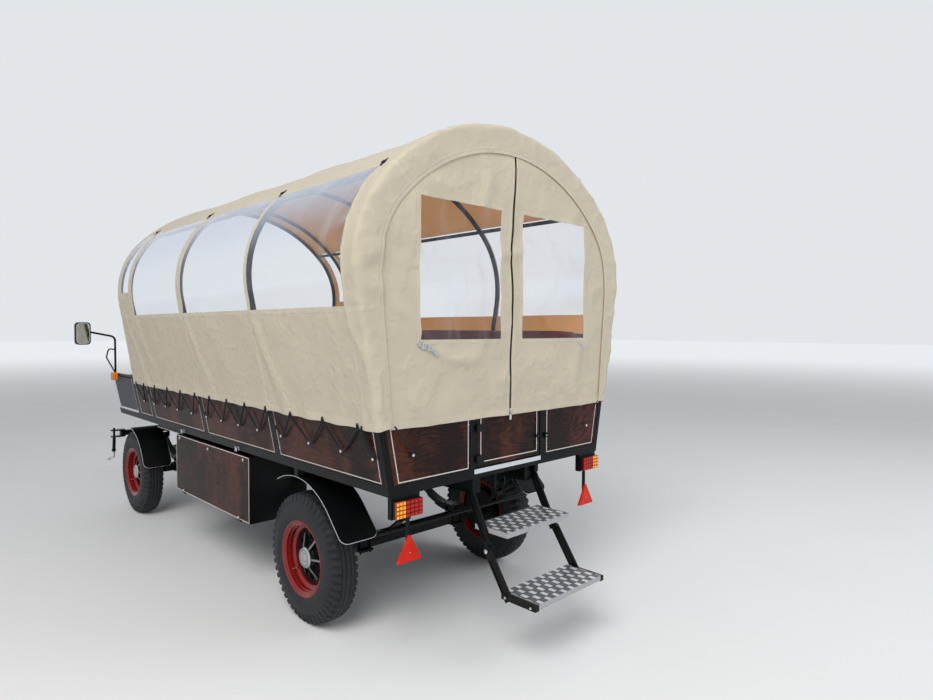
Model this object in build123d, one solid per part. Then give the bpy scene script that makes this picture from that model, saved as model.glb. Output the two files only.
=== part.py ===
from build123d import *
from math import acos, asin, atan, atan2, copysign, cos, degrees, hypot, radians, sin
import os

os.makedirs("parts", exist_ok=True)

# Covered passenger wagon. Millimetres, +X forward, +Y left, +Z up, ground at Z 0.
# Stations are measured forward from the rear face of the body frame, and every
# piece is moved back by half the overall length when it is written.

# Body frame
rail_half = 862          # outer face of the side rail at its bottom
rail_bottom = 927
rail_depth = 53
rail_width = 50
wall_lean = 0.191        # outward lean of the side walls, run over rise
post_width = 60
post_depth = 40
wall_height = 310        # boarded wall above the rail
cap_depth = 30           # rail that closes the top of the wall
board_thick = 12
board_recess = 3
board_gap = 0.3
floor_thick = 18
floor_gap = 1

# Bays between the wall posts from the rear, then the driver's footwell
rear_bay = 1063
middle_bay = 1067
front_bay = 1098
end_bay = 372
foot_length = 555
dash_thick = 18
front_lip = 4            # of the frame ahead of the dash board
front_cross_gap = 105    # from the foremost cross-member to the dash board

# Rear wall and door
door_post_inner = 272
door_post_width = 50
door_gap = 6             # between the door and its posts
door_sill = 5            # gap over the rear rail
door_head = 45           # from the door's top to the wall's top
door_thick = 18
door_frame = 30          # width of the frame round the door's panel
door_panel_recess = 4
hinge_radius = 8
hinge_stand = 2          # of the hinge barrels behind the frame
hinge_length = 40
hinge_inset = 25         # from the door's lower and upper edge
hinge_strap = 44         # of the hinge strap on the door

# Canopy
hem_lap = 38             # of the cloth's hem below the top of the wall
cloth = 4
cloth_stand = 6          # outer face of the cloth beyond the wall plane
cloth_gap = 0.3          # between the cloth and the hoops
apex_height = 2860
arch_rise = 930          # from the top of the hoops' leaning legs to the crown
shoulder_radius = 620
sill_drop = 85           # of the side windows' sill below the shoulder
front_sill_rise = 100    # of the front windows' sill above it
ring_stand = 16          # rear face of the cloth behind the frame
rear_edge_radius = 24
rear_band = 105          # width of the cloth band round the rear face
front_edge_gap = 65      # from the cloth's lower front corner to the cabin's end
front_edge_lean = 75     # of the cloth's front edge, from its hem to the shoulder
strip_half = 850         # half width of the closed roof strip
hoop_radius = 17
hoop_edge = 10           # from the last hoop's centre line to the cloth's front edge
purlin_radius = 14
cope_gap = 0.3           # between a purlin's coped end and its hoop
pane_thick = 1.5
pane_gap = 0.3

# Rear curtain
curtain_gap = 0.3        # between the curtain and the band before it
curtain_lap = 14         # of the curtain under the band
left_pane = (90, 683)    # lower and upper Y
right_pane = (-692, -100)
pane_skirt = 433         # cloth below the rear panes
pane_crown = 463         # from the rear panes' top to the crown
zip_centre = -20
zip_width = 12
zip_crown = 160          # from the zip's top to the crown

# Wheels
rear_axle_station = 900
front_axle_gap = 220     # from the front axle to the frame's front end
track_half = 747
tyre_radius = 385
tyre_width = 190
tyre_groove = 18         # width of the two grooves round the tread
groove_depth = 12
rim_radius = 223         # over the rim flange
bead_radius = 203
rim_width = 150
rim_lip = 7
rim_thick = 14
rim_well = 34            # depth of the rim's well below the bead seat
rim_chamfer = 2          # of the ridge inside the rim's outer lip
foot_gap_rim = 1         # between the tyre's foot and the rim's lip
hub_radius = 62
hub_reach = 62           # hub cap beyond the wheel's middle plane
hub_back = 40            # hub's inner end behind it
hub_fit = 0.3
disc_thick = 12
disc_ribs = 6
rib_thick = 12
disc_window = 22         # radius of the round windows between the ribs
window_circle = 124
nut_radius = 11
nut_circle = 80
drum_radius = 148
drum_wall = 12
drum_depth = 52
plate_gap = 8            # from the drum's open edge to the brake's back plate
plate_thick = 6

# Axles and springs
axle_size = 70
stub_radius = 25
beam_end_gap = 130       # from the square beam's end to the wheel's middle plane
spring_half = 400        # distance of the springs from the middle plane
spring_span = 860
spring_leaf = 12
spring_leaves = 4
leaf_step = 0.2          # each leaf is shorter by this share
spring_width = 60
spring_eye_height = 640
spring_eye_radius = 24
eye_pin_radius = 10
hanger_thick = 14
link_thick = 8
link_length = 70         # between the pins of a shackle
side_play = 1            # beside each spring eye
clamp_rod = 6            # radius of the U-bolts over the axle
clamp_plate = 14
clamp_half = 60

# Chassis and turntable
beam_half = 220
beam_width = 60
beam_depth = 100
cross_depth = 50
ring_radius = 310
ring_width = 60
ring_thick = 25
ring_gap = 0.3
bogie_member = 60
bogie_member_inner = 250

# Mudguards
guard_inner = 620
guard_outer = 862
guard_sheet = 3
guard_corner = 45        # radius of the corners of a mudguard's tail
rear_guard_radius = 492
front_guard_radius = 425
stay_inset = 5           # of the rear stays from the side rail's faces
tie_radius = 12

# Drawbar
draw_hinge_gap = 80      # from the splinter bar to the drawbar's hinge
draw_hinge_height = 500
draw_length = 1900
draw_width = 70
draw_depth = 80
eye_outer = 55
eye_bore = 20
eye_thick = 30
eye_round = 8
pin_radius = 15
pin_clearance = 0.3
bush_radius = 30
bush_half = 40
cheek_thick = 12
cheek_gap = 5.5

# Splinter bar on the front bogie
splinter_gap = 58        # from the springs' front eyes to the splinter bar
splinter_half = 800
splinter_size = 50
fork_reach = 80
fork_half = 30
fork_thick = 12
fork_pin_radius = 10
fork_pin_inset = 25
hook_bar = 24            # thickness of the bar that hangs from each fork's pin

# Rear steps
tread_half = 268
tread_thick = 28
tread_sheet = 3
upper_tread_height = 675
upper_tread_rear = -225
upper_tread_front = 12
lower_tread_height = 370
lower_tread_rear = -441
lower_tread_front = -210
stringer_thick = 12
stringer_width = 52
stringer_web = 5
stringer_edge = 6
stringer_top = (75, 905)
knuckle = (-108, 560)
stringer_low = (-262, 335)
knuckle_pin_radius = 8
knuckle_gap = 5

# Storage boxes under the sides
box_rear = 1520
box_length = 1290
box_height = 442
box_drop = 35            # of the box's top below the side rail
box_outer = 838
box_depth = 408
box_wall = 15
lid_gap = 0.3
lid_foot = 4             # of the lid's lower edge above the box's
lid_hinge_radius = 7
lid_hinge_half = 30
lid_hinge_inset = 150

# Benches
bench_rear = 120
bench_front_gap = 250    # from the bench's front end to the cabin's
bench_aisle = 450        # distance of a seat's edge from the middle plane
seat_height = 1430
seat_board = 25
pad_thick = 55
pad_gap = 0.3
pad_round = 14
back_low = 90            # of the back board above the seat
back_height = 190
back_board = 18
back_post = 20
driver_gap = 10          # from the cabin's end to the driver's bench
driver_depth = 420
driver_half = 700
driver_seat = 60
driver_back = 310

# Driver's footwell, mirrors and marker lamps
foot_sheet = 12
foot_gap = 1             # between the cabin's end and the footwell's panels
foot_rail_radius = 14
loop_gap = 20            # from the mirror's arm to the dash board
mirror_rise = 365        # of the mirror's arm above the footwell
mirror_width = 125
mirror_height = 205
mirror_deep = 40
mirror_outer = 1245
arm_radius = 9
loop_radius = 6
marker_gap = 110         # from the marker lamp to the dash board
marker_half = 36
marker_deep = 40
lamp_gap = 0.3

# Rear lamps and reflectors
lamp_inner = 680
lamp_width = 164
lamp_height = 84
lamp_deep = 32
lamp_low = 822
indicator_share = 0.36   # amber part of the lamp's width
lamp_round = 6
bracket_deep = 30
reflector_side = 157
reflector_low = 592
reflector_deep = 12.7
reflector_round = 5

# Heights and stations that follow from these
wall_angle = degrees(atan(wall_lean))
lean_cos = cos(radians(wall_angle))
lean_sin = sin(radians(wall_angle))
rail_top = rail_bottom + rail_depth
rail_inner = rail_half - rail_width
wall_top = rail_top + wall_height
hem_height = wall_top - hem_lap
leg_top = apex_height - arch_rise
window_sill = leg_top - sill_drop
front_window_sill = leg_top + front_sill_rise
post_centres = [post_depth / 2]
for bay in (rear_bay, middle_bay, front_bay, end_bay):
    post_centres.append(post_centres[-1] + bay)
cabin_length = post_centres[-1] + post_width / 2
dash_station = cabin_length + foot_length
body_length = dash_station + dash_thick + front_lip
front_axle_station = body_length - front_axle_gap
splinter_station = front_axle_station + spring_span / 2 + splinter_gap
draw_hinge_station = splinter_station + draw_hinge_gap
door_half = door_post_inner - door_gap
canopy_rear = -ring_stand
canopy_front_low = cabin_length - front_edge_gap
canopy_front_high = canopy_front_low - front_edge_lean
hoop_stations = post_centres[:4] + [canopy_front_high - hoop_edge]

# Side windows between the hoops: gap ahead of the hoop behind, gap behind the hoop ahead, sill
window_gaps = [
    (76, 11, window_sill),
    (53, 52, window_sill),
    (94, 89, window_sill),
    (14, 80, front_window_sill),
]
side_bays = [
    (behind + rear_gap, ahead - front_gap, sill)
    for behind, ahead, (rear_gap, front_gap, sill) in zip(hoop_stations, hoop_stations[1:], window_gaps)
]

# Overall length, from the lower tread to the towing eye of the drawbar at rest
eye_run = draw_length + eye_outer
rest_angle = degrees(
    asin(draw_hinge_height / hypot(eye_run, eye_thick / 2)) - atan2(eye_thick / 2, eye_run)
)
front_end = draw_hinge_station + eye_run * cos(radians(rest_angle)) + eye_thick / 2 * sin(radians(rest_angle))
middle = (lower_tread_rear + front_end) / 2


def half_at(height, offset=0.0):
    """Half width of the wall plane at a height, moved outward by offset."""
    return rail_half + wall_lean * (height - rail_bottom) + offset / lean_cos


def block(x0, x1, y0, y1, z0, z1):
    """A square-edged bar or plate between three pairs of faces."""
    return Pos((x0 + x1) / 2, (y0 + y1) / 2, (z0 + z1) / 2) * Box(x1 - x0, y1 - y0, z1 - z0)


def bar(start, end, width, depth, across=(0, 1, 0)):
    """A flat bar from start to end, width measured along across."""
    line = Vector(*end) - Vector(*start)
    plane = Plane(origin=start, x_dir=across, z_dir=line.normalized())
    return extrude(plane * Rectangle(width, depth), line.length)


def rod(start, end, radius):
    """A round bar from start to end."""
    line = Vector(*end) - Vector(*start)
    plane = Plane(origin=start, z_dir=line.normalized())
    return extrude(plane * Circle(radius), line.length)


def cross_rod(station, y0, y1, height, radius):
    """A round bar that lies across the wagon."""
    return rod((station, y0, height), (station, y1, height), radius)


def both_sides(piece):
    """The piece and its mirror image across the wagon's middle plane."""
    return piece + mirror(piece, about=Plane.XZ)


def side_plate(points, y0, y1):
    """A plate cut to an outline in the side view, between two Y faces."""
    face = make_face(Polyline(*points, close=True))
    return Pos(0, y1, 0) * extrude(Plane.XZ * face, y1 - y0)


def end_plate(points, x0, x1):
    """A plate cut to an outline of (Y, Z) points, between two stations."""
    face = make_face(Polyline(*points, close=True))
    return Pos(x0, 0, 0) * extrude(Plane.YZ * face, x1 - x0)


def write(name, *pieces):
    """Write the pieces of one node to its STEP file, in the wagon's own frame."""
    solids = [solid for piece in pieces for solid in piece.solids()]
    moved = [Pos(-middle, 0, 0) * solid for solid in solids]
    shape = moved[0] if len(moved) == 1 else Compound(moved)
    export_step(shape, f"parts/{name}.step")


# Arch of the canopy and its hoops: leaning leg, shoulder arc, roof arc
shoulder_y = half_at(leg_top) - shoulder_radius * lean_cos
shoulder_z = leg_top + shoulder_radius * lean_sin
crown_rise = apex_height - shoulder_z
roof_radius = (shoulder_radius**2 - shoulder_y**2 - crown_rise**2) / (2 * (shoulder_radius - crown_rise))
roof_z = apex_height - roof_radius
joint_angle = atan2(shoulder_z - roof_z, shoulder_y)


def arch_path(offset, foot):
    """The arch from its left foot over to its right foot, moved outward by offset."""
    shoulder = shoulder_radius + offset
    roof = roof_radius + offset
    middle_angle = (joint_angle - radians(wall_angle)) / 2
    leg = (shoulder_y + shoulder * lean_cos, shoulder_z - shoulder * lean_sin)
    turn = (shoulder_y + shoulder * cos(middle_angle), shoulder_z + shoulder * sin(middle_angle))
    crown = (roof * cos(joint_angle), roof_z + roof * sin(joint_angle))
    left = [(half_at(foot, offset), foot), leg, turn, crown]
    right = [(-y, z) for y, z in left]
    return (
        Line(left[0], left[1])
        + ThreePointArc(left[1], left[2], left[3])
        + ThreePointArc(left[3], (0, roof_z + roof), right[3])
        + ThreePointArc(right[3], right[2], right[1])
        + Line(right[1], right[0])
    )


def arch_point(offset, y):
    """Height of the arch at a distance from the middle plane, and its slope there in degrees."""
    centre_y, centre_z, radius = 0, roof_z, roof_radius + offset
    if abs(y) > radius * cos(joint_angle):
        centre_y, centre_z, radius = copysign(shoulder_y, y), shoulder_z, shoulder_radius + offset
    angle = acos((y - centre_y) / radius)
    return centre_z + radius * sin(angle), degrees(angle) - 90


def arch_solid(offset, foot, x0, x1):
    """The space under the arch between two stations."""
    path = arch_path(offset, foot)
    face = make_face(path + Line(path @ 1, path @ 0))
    return Pos(x0, 0, 0) * extrude(Plane.YZ * face, x1 - x0)


def wall_outline(low, high, outer, inner):
    """Section of a member that leans with the wall, outer and inner as depths."""
    return [
        (half_at(low, -outer), low),
        (half_at(high, -outer), high),
        (half_at(high, -inner), high),
        (half_at(low, -inner), low),
    ]


def post_half(station):
    """Half the width of a post along the wagon; the corner post is as wide as the rear wall is deep."""
    return post_width / 2 if station > post_width else post_depth / 2


# Body frame: side rails and the cross-members between them
rail_outline = [
    (half_at(rail_bottom), rail_bottom),
    (half_at(rail_top), rail_top),
    (rail_inner, rail_top),
    (rail_inner, rail_bottom),
]
cross_centres = [
    rail_width / 2,
    *post_centres[1:4],
    dash_station - front_cross_gap,
    body_length - rail_width / 2,
]
body_frame = both_sides(end_plate(rail_outline, 0, body_length))
for station in cross_centres:
    body_frame += block(
        station - rail_width / 2, station + rail_width / 2, -rail_inner, rail_inner, rail_bottom, rail_top
    )
write("body_frame", body_frame)

# Wall frames: leaning posts under a cap rail, which turns in at the rear to the door post
wall_frame = end_plate(wall_outline(wall_top, wall_top + cap_depth, 0, post_depth), 0, cabin_length)
post_outline = wall_outline(rail_top, wall_top, 0, post_depth)
for station in post_centres:
    wall_frame += end_plate(post_outline, station - post_half(station), station + post_half(station))
door_post_outer = door_post_inner + door_post_width
wall_frame += block(0, post_depth, door_post_inner, door_post_outer, rail_top, wall_top + cap_depth)
wall_frame += block(
    0, post_depth, door_post_outer, half_at(wall_top, -post_depth / 2), wall_top, wall_top + cap_depth
)
write("wall_frames", wall_frame, mirror(wall_frame, about=Plane.XZ))

# Floor
floor_half = half_at(rail_top, -post_depth) - floor_gap
floor_top = rail_top + floor_thick
floor = block(post_depth + floor_gap, dash_station - floor_gap, -floor_half, floor_half, rail_top, floor_top)
write("floor", floor)

# Side boards, one in each bay between two posts
side_boards = []
board_back = board_recess + board_thick
board_outline = wall_outline(rail_top + board_gap, wall_top - board_gap, board_recess, board_back)
for rear_post, front_post in zip(post_centres, post_centres[1:]):
    x0 = rear_post + post_half(rear_post) + board_gap
    x1 = front_post - post_half(front_post) - board_gap
    board = end_plate(board_outline, x0, x1)
    side_boards += [board, mirror(board, about=Plane.XZ)]
write("side_boards", *side_boards)

# Rear boards, beside the door posts
inner_edge = door_post_outer + board_gap
rear_board_outline = [
    (inner_edge, rail_top + board_gap),
    (half_at(rail_top, -post_depth) - board_gap, rail_top + board_gap),
    (half_at(wall_top, -post_depth) - board_gap, wall_top - board_gap),
    (inner_edge, wall_top - board_gap),
]
rear_board = end_plate(rear_board_outline, board_recess, board_back)
write("rear_boards", rear_board, mirror(rear_board, about=Plane.XZ))

# Rear door with its sunk panel, hinged on the left door post
hinge_x = -hinge_radius - hinge_stand
hinge_y = door_post_inner
door_bottom = rail_top + door_sill
door_top = wall_top - door_head
door = block(board_recess, board_recess + door_thick, -door_half, door_half, door_bottom, door_top)
door -= block(
    board_recess - door_panel_recess,
    board_recess + door_panel_recess,
    door_frame - door_half,
    door_half - door_frame,
    door_bottom + door_frame,
    door_top - door_frame,
)
for z0 in (door_bottom + hinge_inset, door_top - hinge_inset - hinge_length):
    barrel = rod((hinge_x, hinge_y, z0), (hinge_x, hinge_y, z0 + hinge_length), hinge_radius)
    strap = block(hinge_x, board_recess, door_half - hinge_strap, hinge_y, z0, z0 + hinge_length)
    door += barrel + strap
write("rear_door", door)

# Hoops, each a bent tube standing on the cap rails
hoop_offset = cloth_stand - cloth - cloth_gap - hoop_radius
hoop_foot = wall_top + cap_depth
hoop_reach = half_at(hoop_foot)
hoops = []
for station in hoop_stations:
    path = Pos(station, 0, 0) * (Plane.YZ * arch_path(hoop_offset, wall_top))
    hoop = sweep(Plane(origin=path @ 0, z_dir=path % 0) * Circle(hoop_radius), path)
    hoop -= block(station - hoop_radius, station + hoop_radius, -hoop_reach, hoop_reach, 0, hoop_foot)
    hoops.append(hoop)
write("hoops", *hoops)

# Purlins: short tubes between the hoops, at the crown and along both edges of the roof strip
purlins = []
for y in (0, strip_half, -strip_half):
    z, slope = arch_point(hoop_offset, y)
    cope = Rot(90 + slope, 0, 0) * Cylinder(hoop_radius + cope_gap, 4 * hoop_radius)
    for rear_hoop, front_hoop in zip(hoop_stations, hoop_stations[1:]):
        purlin = rod((rear_hoop, y, z), (front_hoop, y, z), purlin_radius)
        purlins.append(purlin - Pos(rear_hoop, y, z) * cope - Pos(front_hoop, y, z) * cope)
write("purlins", *purlins)


def tilt_space(offset, foot, rear, corner):
    """The space under the tilt, its upright edge round the rear face rounded."""
    space = arch_solid(offset, foot, rear, canopy_front_low + rear - canopy_rear)
    rim = space.edges().filter_by(lambda e: abs(e.center().X - rear) < 0.01 and e.center().Z > foot + 1)
    return fillet(rim, corner)


# Canopy cloth: one tilt over the hoops, turned in round the rear face
below = hem_height - hem_lap
canopy = tilt_space(cloth_stand, hem_height, canopy_rear, rear_edge_radius)
canopy -= tilt_space(cloth_stand - cloth, below, canopy_rear + cloth, rear_edge_radius - cloth)
canopy -= arch_solid(cloth_stand - rear_band, below, canopy_rear - cloth, canopy_rear + rear_edge_radius)
front_end_cut = canopy_front_low + front_edge_lean
over = apex_height + front_edge_lean
front_cut = [
    (canopy_front_low, below),
    (canopy_front_low, hem_height),
    (canopy_front_high, leg_top + sill_drop),
    (canopy_front_high, over),
    (front_end_cut, over),
    (front_end_cut, below),
]
canopy -= side_plate(front_cut, -2 * strip_half, 2 * strip_half)
for x0, x1, sill in side_bays:
    canopy -= both_sides(block(x0, x1, strip_half, 2 * strip_half, sill, apex_height))
write("canopy_cloth", canopy)

# Clear side panes, cut from the same arch as the cloth
side_panes = []
pane_outer = cloth_stand - (cloth - pane_thick) / 2
for x0, x1, sill in side_bays:
    pane = arch_solid(pane_outer, hem_height, x0 + pane_gap, x1 - pane_gap)
    pane -= arch_solid(pane_outer - pane_thick, below, x0, x1)
    pane &= block(x0, x1, strip_half + pane_gap, 2 * strip_half, sill + pane_gap, apex_height)
    side_panes += [pane, mirror(pane, about=Plane.XZ)]
write("side_windows", *side_panes)

# Rear curtain, split at its zip, with a clear pane in each half
curtain_x = canopy_rear + cloth + curtain_gap
rear_window_low = hem_height + pane_skirt
rear_window_high = apex_height - pane_crown
curtain = arch_solid(cloth_stand - rear_band + curtain_lap, hem_height, curtain_x, curtain_x + cloth)
zip_slot = (canopy_rear, curtain_x + 2 * cloth, zip_centre - zip_width / 2, zip_centre + zip_width / 2)
curtain -= block(*zip_slot, below, apex_height)
rear_panes = []
for y0, y1 in (left_pane, right_pane):
    curtain -= block(canopy_rear, curtain_x + 2 * cloth, y0, y1, rear_window_low, rear_window_high)
    pane = block(
        curtain_x + (cloth - pane_thick) / 2,
        curtain_x + (cloth + pane_thick) / 2,
        y0 + pane_gap,
        y1 - pane_gap,
        rear_window_low + pane_gap,
        rear_window_high - pane_gap,
    )
    rear_panes.append(pane & arch_solid(cloth_stand - rear_band, hem_height, curtain_x, curtain_x + cloth))
write("rear_curtain", curtain)
write("rear_windows", *rear_panes)
zip_strip = block(
    curtain_x + cloth / 4,
    curtain_x + cloth * 3 / 4,
    zip_centre - zip_width / 2 + pane_gap,
    zip_centre + zip_width / 2 - pane_gap,
    hem_height,
    apex_height - zip_crown,
)
write("rear_zip", zip_strip)


def spring_mount(station, ceiling, shackled):
    """What holds one end of both springs: plates beside the eye and its pin, or a shackle under ears."""
    pin_height = spring_eye_height + link_length if shackled else spring_eye_height
    play = spring_width / 2 + side_play
    inner = play + (link_thick + side_play if shackled else 0)
    reach = inner + hanger_thick
    plate_half = spring_eye_radius + clamp_rod
    mount = None
    for y in (spring_half - reach, spring_half + inner):
        ear = side_plate(
            [
                (station - plate_half, ceiling),
                (station + plate_half, ceiling),
                (station + spring_eye_radius, pin_height - spring_eye_radius),
                (station - spring_eye_radius, pin_height - spring_eye_radius),
            ],
            y,
            y + hanger_thick,
        )
        mount = ear if mount is None else mount + ear
    mount += cross_rod(station, spring_half - reach, spring_half + reach, pin_height, eye_pin_radius)
    if shackled:
        for y in (spring_half - play - link_thick, spring_half + play):
            link = block(
                station - 2 * eye_pin_radius,
                station + 2 * eye_pin_radius,
                y,
                y + link_thick,
                spring_eye_height,
                pin_height,
            )
            for height in (spring_eye_height, pin_height):
                link += cross_rod(station, y, y + link_thick, height, 2 * eye_pin_radius)
            mount += link
        lower_reach = play + link_thick
        mount += cross_rod(
            station, spring_half - lower_reach, spring_half + lower_reach, spring_eye_height, eye_pin_radius
        )
    return both_sides(mount)


# Chassis: two main beams, cross-tubes with the spring mounts, box rail and brackets, upper ring
ring_top = rail_bottom - beam_depth
beam_outer = beam_half + beam_width / 2
chassis = both_sides(
    block(rail_width, body_length - rail_width, beam_half - beam_width / 2, beam_outer, ring_top, rail_bottom)
)
mount_half = spring_half + spring_width / 2 + side_play + link_thick + hanger_thick
cross_low = rail_bottom - cross_depth
for end, shackled in ((-spring_span / 2, True), (spring_span / 2, False)):
    station = rear_axle_station + end
    rear, front = station - cross_depth / 2, station + cross_depth / 2
    chassis += block(rear, front, -mount_half, mount_half, cross_low, rail_bottom)
    chassis += spring_mount(station, rail_bottom - cross_depth / 2, shackled)
box_front = box_rear + box_length
box_top = rail_bottom - box_drop
box_bottom = box_top - box_height
box_inner = box_outer - box_depth
for station in (box_rear + rail_width, box_front - rail_width):
    chassis += block(
        station - post_depth / 2,
        station + post_depth / 2,
        -box_outer + post_depth,
        box_outer - post_depth,
        box_top + lid_gap,
        rail_bottom,
    )
under_rail_front = post_centres[3] + rail_width * 3
chassis += both_sides(
    block(
        box_front - rail_width - post_depth / 2,
        under_rail_front,
        box_outer - rail_width,
        box_outer - post_depth,
        box_top + lid_gap,
        rail_bottom,
    )
)
chassis += both_sides(
    block(
        box_front + box_wall,
        under_rail_front,
        box_outer - rail_width,
        box_outer - post_depth,
        cross_low,
        rail_bottom,
    )
)
chassis += Pos(front_axle_station, 0, ring_top - ring_thick / 2) * (
    Cylinder(ring_radius, ring_thick) - Cylinder(ring_radius - ring_width, ring_thick)
)
for end in (-ring_radius + ring_width / 2, ring_radius - 2 * ring_width):
    station = front_axle_station + end
    rear, front = station - cross_depth / 2, station + cross_depth / 2
    chassis += block(rear, front, -beam_half, beam_half, ring_top, rail_bottom)
write("chassis_frame", chassis)


def axle(station):
    """A square axle beam with round stubs that carry the hubs, and the back plates of the brakes."""
    beam_end = track_half - beam_end_gap
    beam = block(
        station - axle_size / 2,
        station + axle_size / 2,
        -beam_end,
        beam_end,
        tyre_radius - axle_size / 2,
        tyre_radius + axle_size / 2,
    )
    stub_end = track_half + hub_reach - stub_radius
    stub = cross_rod(station, beam_end, stub_end, tyre_radius, stub_radius)
    plate_outer = track_half - drum_depth - disc_thick / 2 - plate_gap
    plate = cross_rod(station, plate_outer - plate_thick, plate_outer, tyre_radius, drum_radius)
    boss = cross_rod(station, beam_end, plate_outer, tyre_radius, axle_size / 2 + clamp_rod)
    return beam + both_sides(stub + plate + boss)


def thicken_arc(arc, thickness):
    """A closed face of even thickness along a plane arc."""
    centre = arc.arc_center
    low = arc.radius - thickness / 2
    high = arc.radius + thickness / 2
    start, mid, end = [(arc @ share - centre).normalized() for share in (0, 0.5, 1)]
    edges = [
        ThreePointArc(centre + start * low, centre + mid * low, centre + end * low),
        Line(centre + end * low, centre + end * high),
        ThreePointArc(centre + end * high, centre + mid * high, centre + start * high),
        Line(centre + start * high, centre + start * low),
    ]
    return make_face(edges)


def spring_pack(station):
    """A semi-elliptic leaf spring on the axle, left side, held down by U-bolts between two plates."""
    seat = tyre_radius + axle_size / 2
    half_span = spring_span / 2
    pack_top = seat + spring_leaves * spring_leaf
    near = spring_half - spring_width / 2
    far = spring_half + spring_width / 2
    pack = None
    for leaf in range(spring_leaves):
        share = 1 - leaf_step * leaf
        low = pack_top - spring_leaf * (leaf + 0.5)
        high = low + (spring_eye_height - pack_top + spring_leaf / 2) * share**2
        arc = ThreePointArc(
            (station - half_span * share, high), (station, low), (station + half_span * share, high)
        )
        strip = Pos(0, far, 0) * extrude(Plane.XZ * thicken_arc(arc, spring_leaf), spring_width)
        pack = strip if pack is None else pack + strip
    eye_bore_radius = eye_pin_radius + pin_clearance
    for end in (-half_span, half_span):
        pack += cross_rod(station + end, near, far, spring_eye_height, spring_eye_radius)
        pack -= cross_rod(station + end, near, far, spring_eye_height, eye_bore_radius)
    clamp_y = spring_width / 2 + clamp_rod + side_play
    clamp_x = axle_size / 2 + clamp_rod + side_play
    plate_half = clamp_y + 2 * clamp_rod
    axle_bottom = seat - axle_size
    rod_low = axle_bottom - 2 * clamp_plate
    rod_high = pack_top + clamp_plate + clamp_rod
    plate = Box(2 * clamp_half, 2 * plate_half, clamp_plate)
    for plate_height in (pack_top + clamp_plate / 2, axle_bottom - clamp_plate / 2):
        pack += Pos(station, spring_half, plate_height) * plate
    for x in (station - clamp_x, station + clamp_x):
        for y in (spring_half - clamp_y, spring_half + clamp_y):
            pack += rod((x, y, rod_low), (x, y, rod_high), clamp_rod)
    return pack


rear_pack = spring_pack(rear_axle_station)
write("rear_axle", axle(rear_axle_station))
write("rear_springs", rear_pack, mirror(rear_pack, about=Plane.XZ))


# Wheels: ribbed tyre, rim with its well and lip, hub with disc, ribs, nuts and brake drum
bead_half = rim_width / 2 - rim_lip
bead_rise = 22           # radius of the tyre's foot over the bead
shoulder_half = tyre_width * 0.4
shoulder_drop = 18       # of the tyre's shoulder below its crown
bulge_radius = (bead_radius + tyre_radius) / 2
well_half = 20
well_slope = 10
bore = stub_radius + hub_fit
disc_reach = bead_radius - rim_well - hub_fit
hub_flange = window_circle - disc_window - hub_fit


def tyre_solid():
    """A tyre with two grooves round its tread."""
    half = tyre_width / 2
    foot = bead_half + rim_lip - foot_gap_rim
    tread = tyre_radius - shoulder_drop
    outline = make_face(
        [
            Line((bead_radius, -bead_half), (bead_radius, bead_half)),
            Line((bead_radius, bead_half), (bead_radius + bead_rise, foot)),
            ThreePointArc((bead_radius + bead_rise, foot), (bulge_radius, half), (tread, shoulder_half)),
            ThreePointArc((tread, shoulder_half), (tyre_radius, 0), (tread, -shoulder_half)),
            ThreePointArc((tread, -shoulder_half), (bulge_radius, -half), (bead_radius + bead_rise, -foot)),
            Line((bead_radius + bead_rise, -foot), (bead_radius, -bead_half)),
        ]
    )
    tyre = revolve(outline, Axis.Y)
    groove = Cylinder(tyre_radius + groove_depth, tyre_groove / 2)
    groove -= Cylinder(tyre_radius - groove_depth, tyre_groove / 2)
    for y in (-tyre_width / 7, tyre_width / 7):
        tyre -= Pos(0, y, 0) * Rot(90, 0, 0) * groove
    return tyre


def rim_solid():
    """A rim turned from one section, with a ridge inside its outer lip."""
    seat = bead_radius - hub_fit
    inside = bead_radius - rim_thick
    half = rim_width / 2
    outline = [
        (rim_radius, -half - rim_lip),
        (rim_radius, -half),
        (seat, -bead_half),
        (seat, bead_half),
        (rim_radius, half),
        (rim_radius, half + rim_lip),
        (rim_radius - rim_lip, half + rim_lip),
        (rim_radius - rim_thick, half),
        (inside + rim_lip, half - rim_lip),
        (inside + rim_lip, bead_half - rim_thick),
        (inside, bead_half - rim_thick - rim_chamfer),
        (inside, well_half + well_slope),
        (bead_radius - rim_well, well_half),
        (bead_radius - rim_well, -well_half),
        (inside, -well_half - well_slope),
        (inside, -bead_half + rim_lip),
        (rim_radius - rim_thick, -half - rim_lip),
    ]
    return revolve(make_face(Polyline(*outline, close=True)), Axis.Y)


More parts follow.
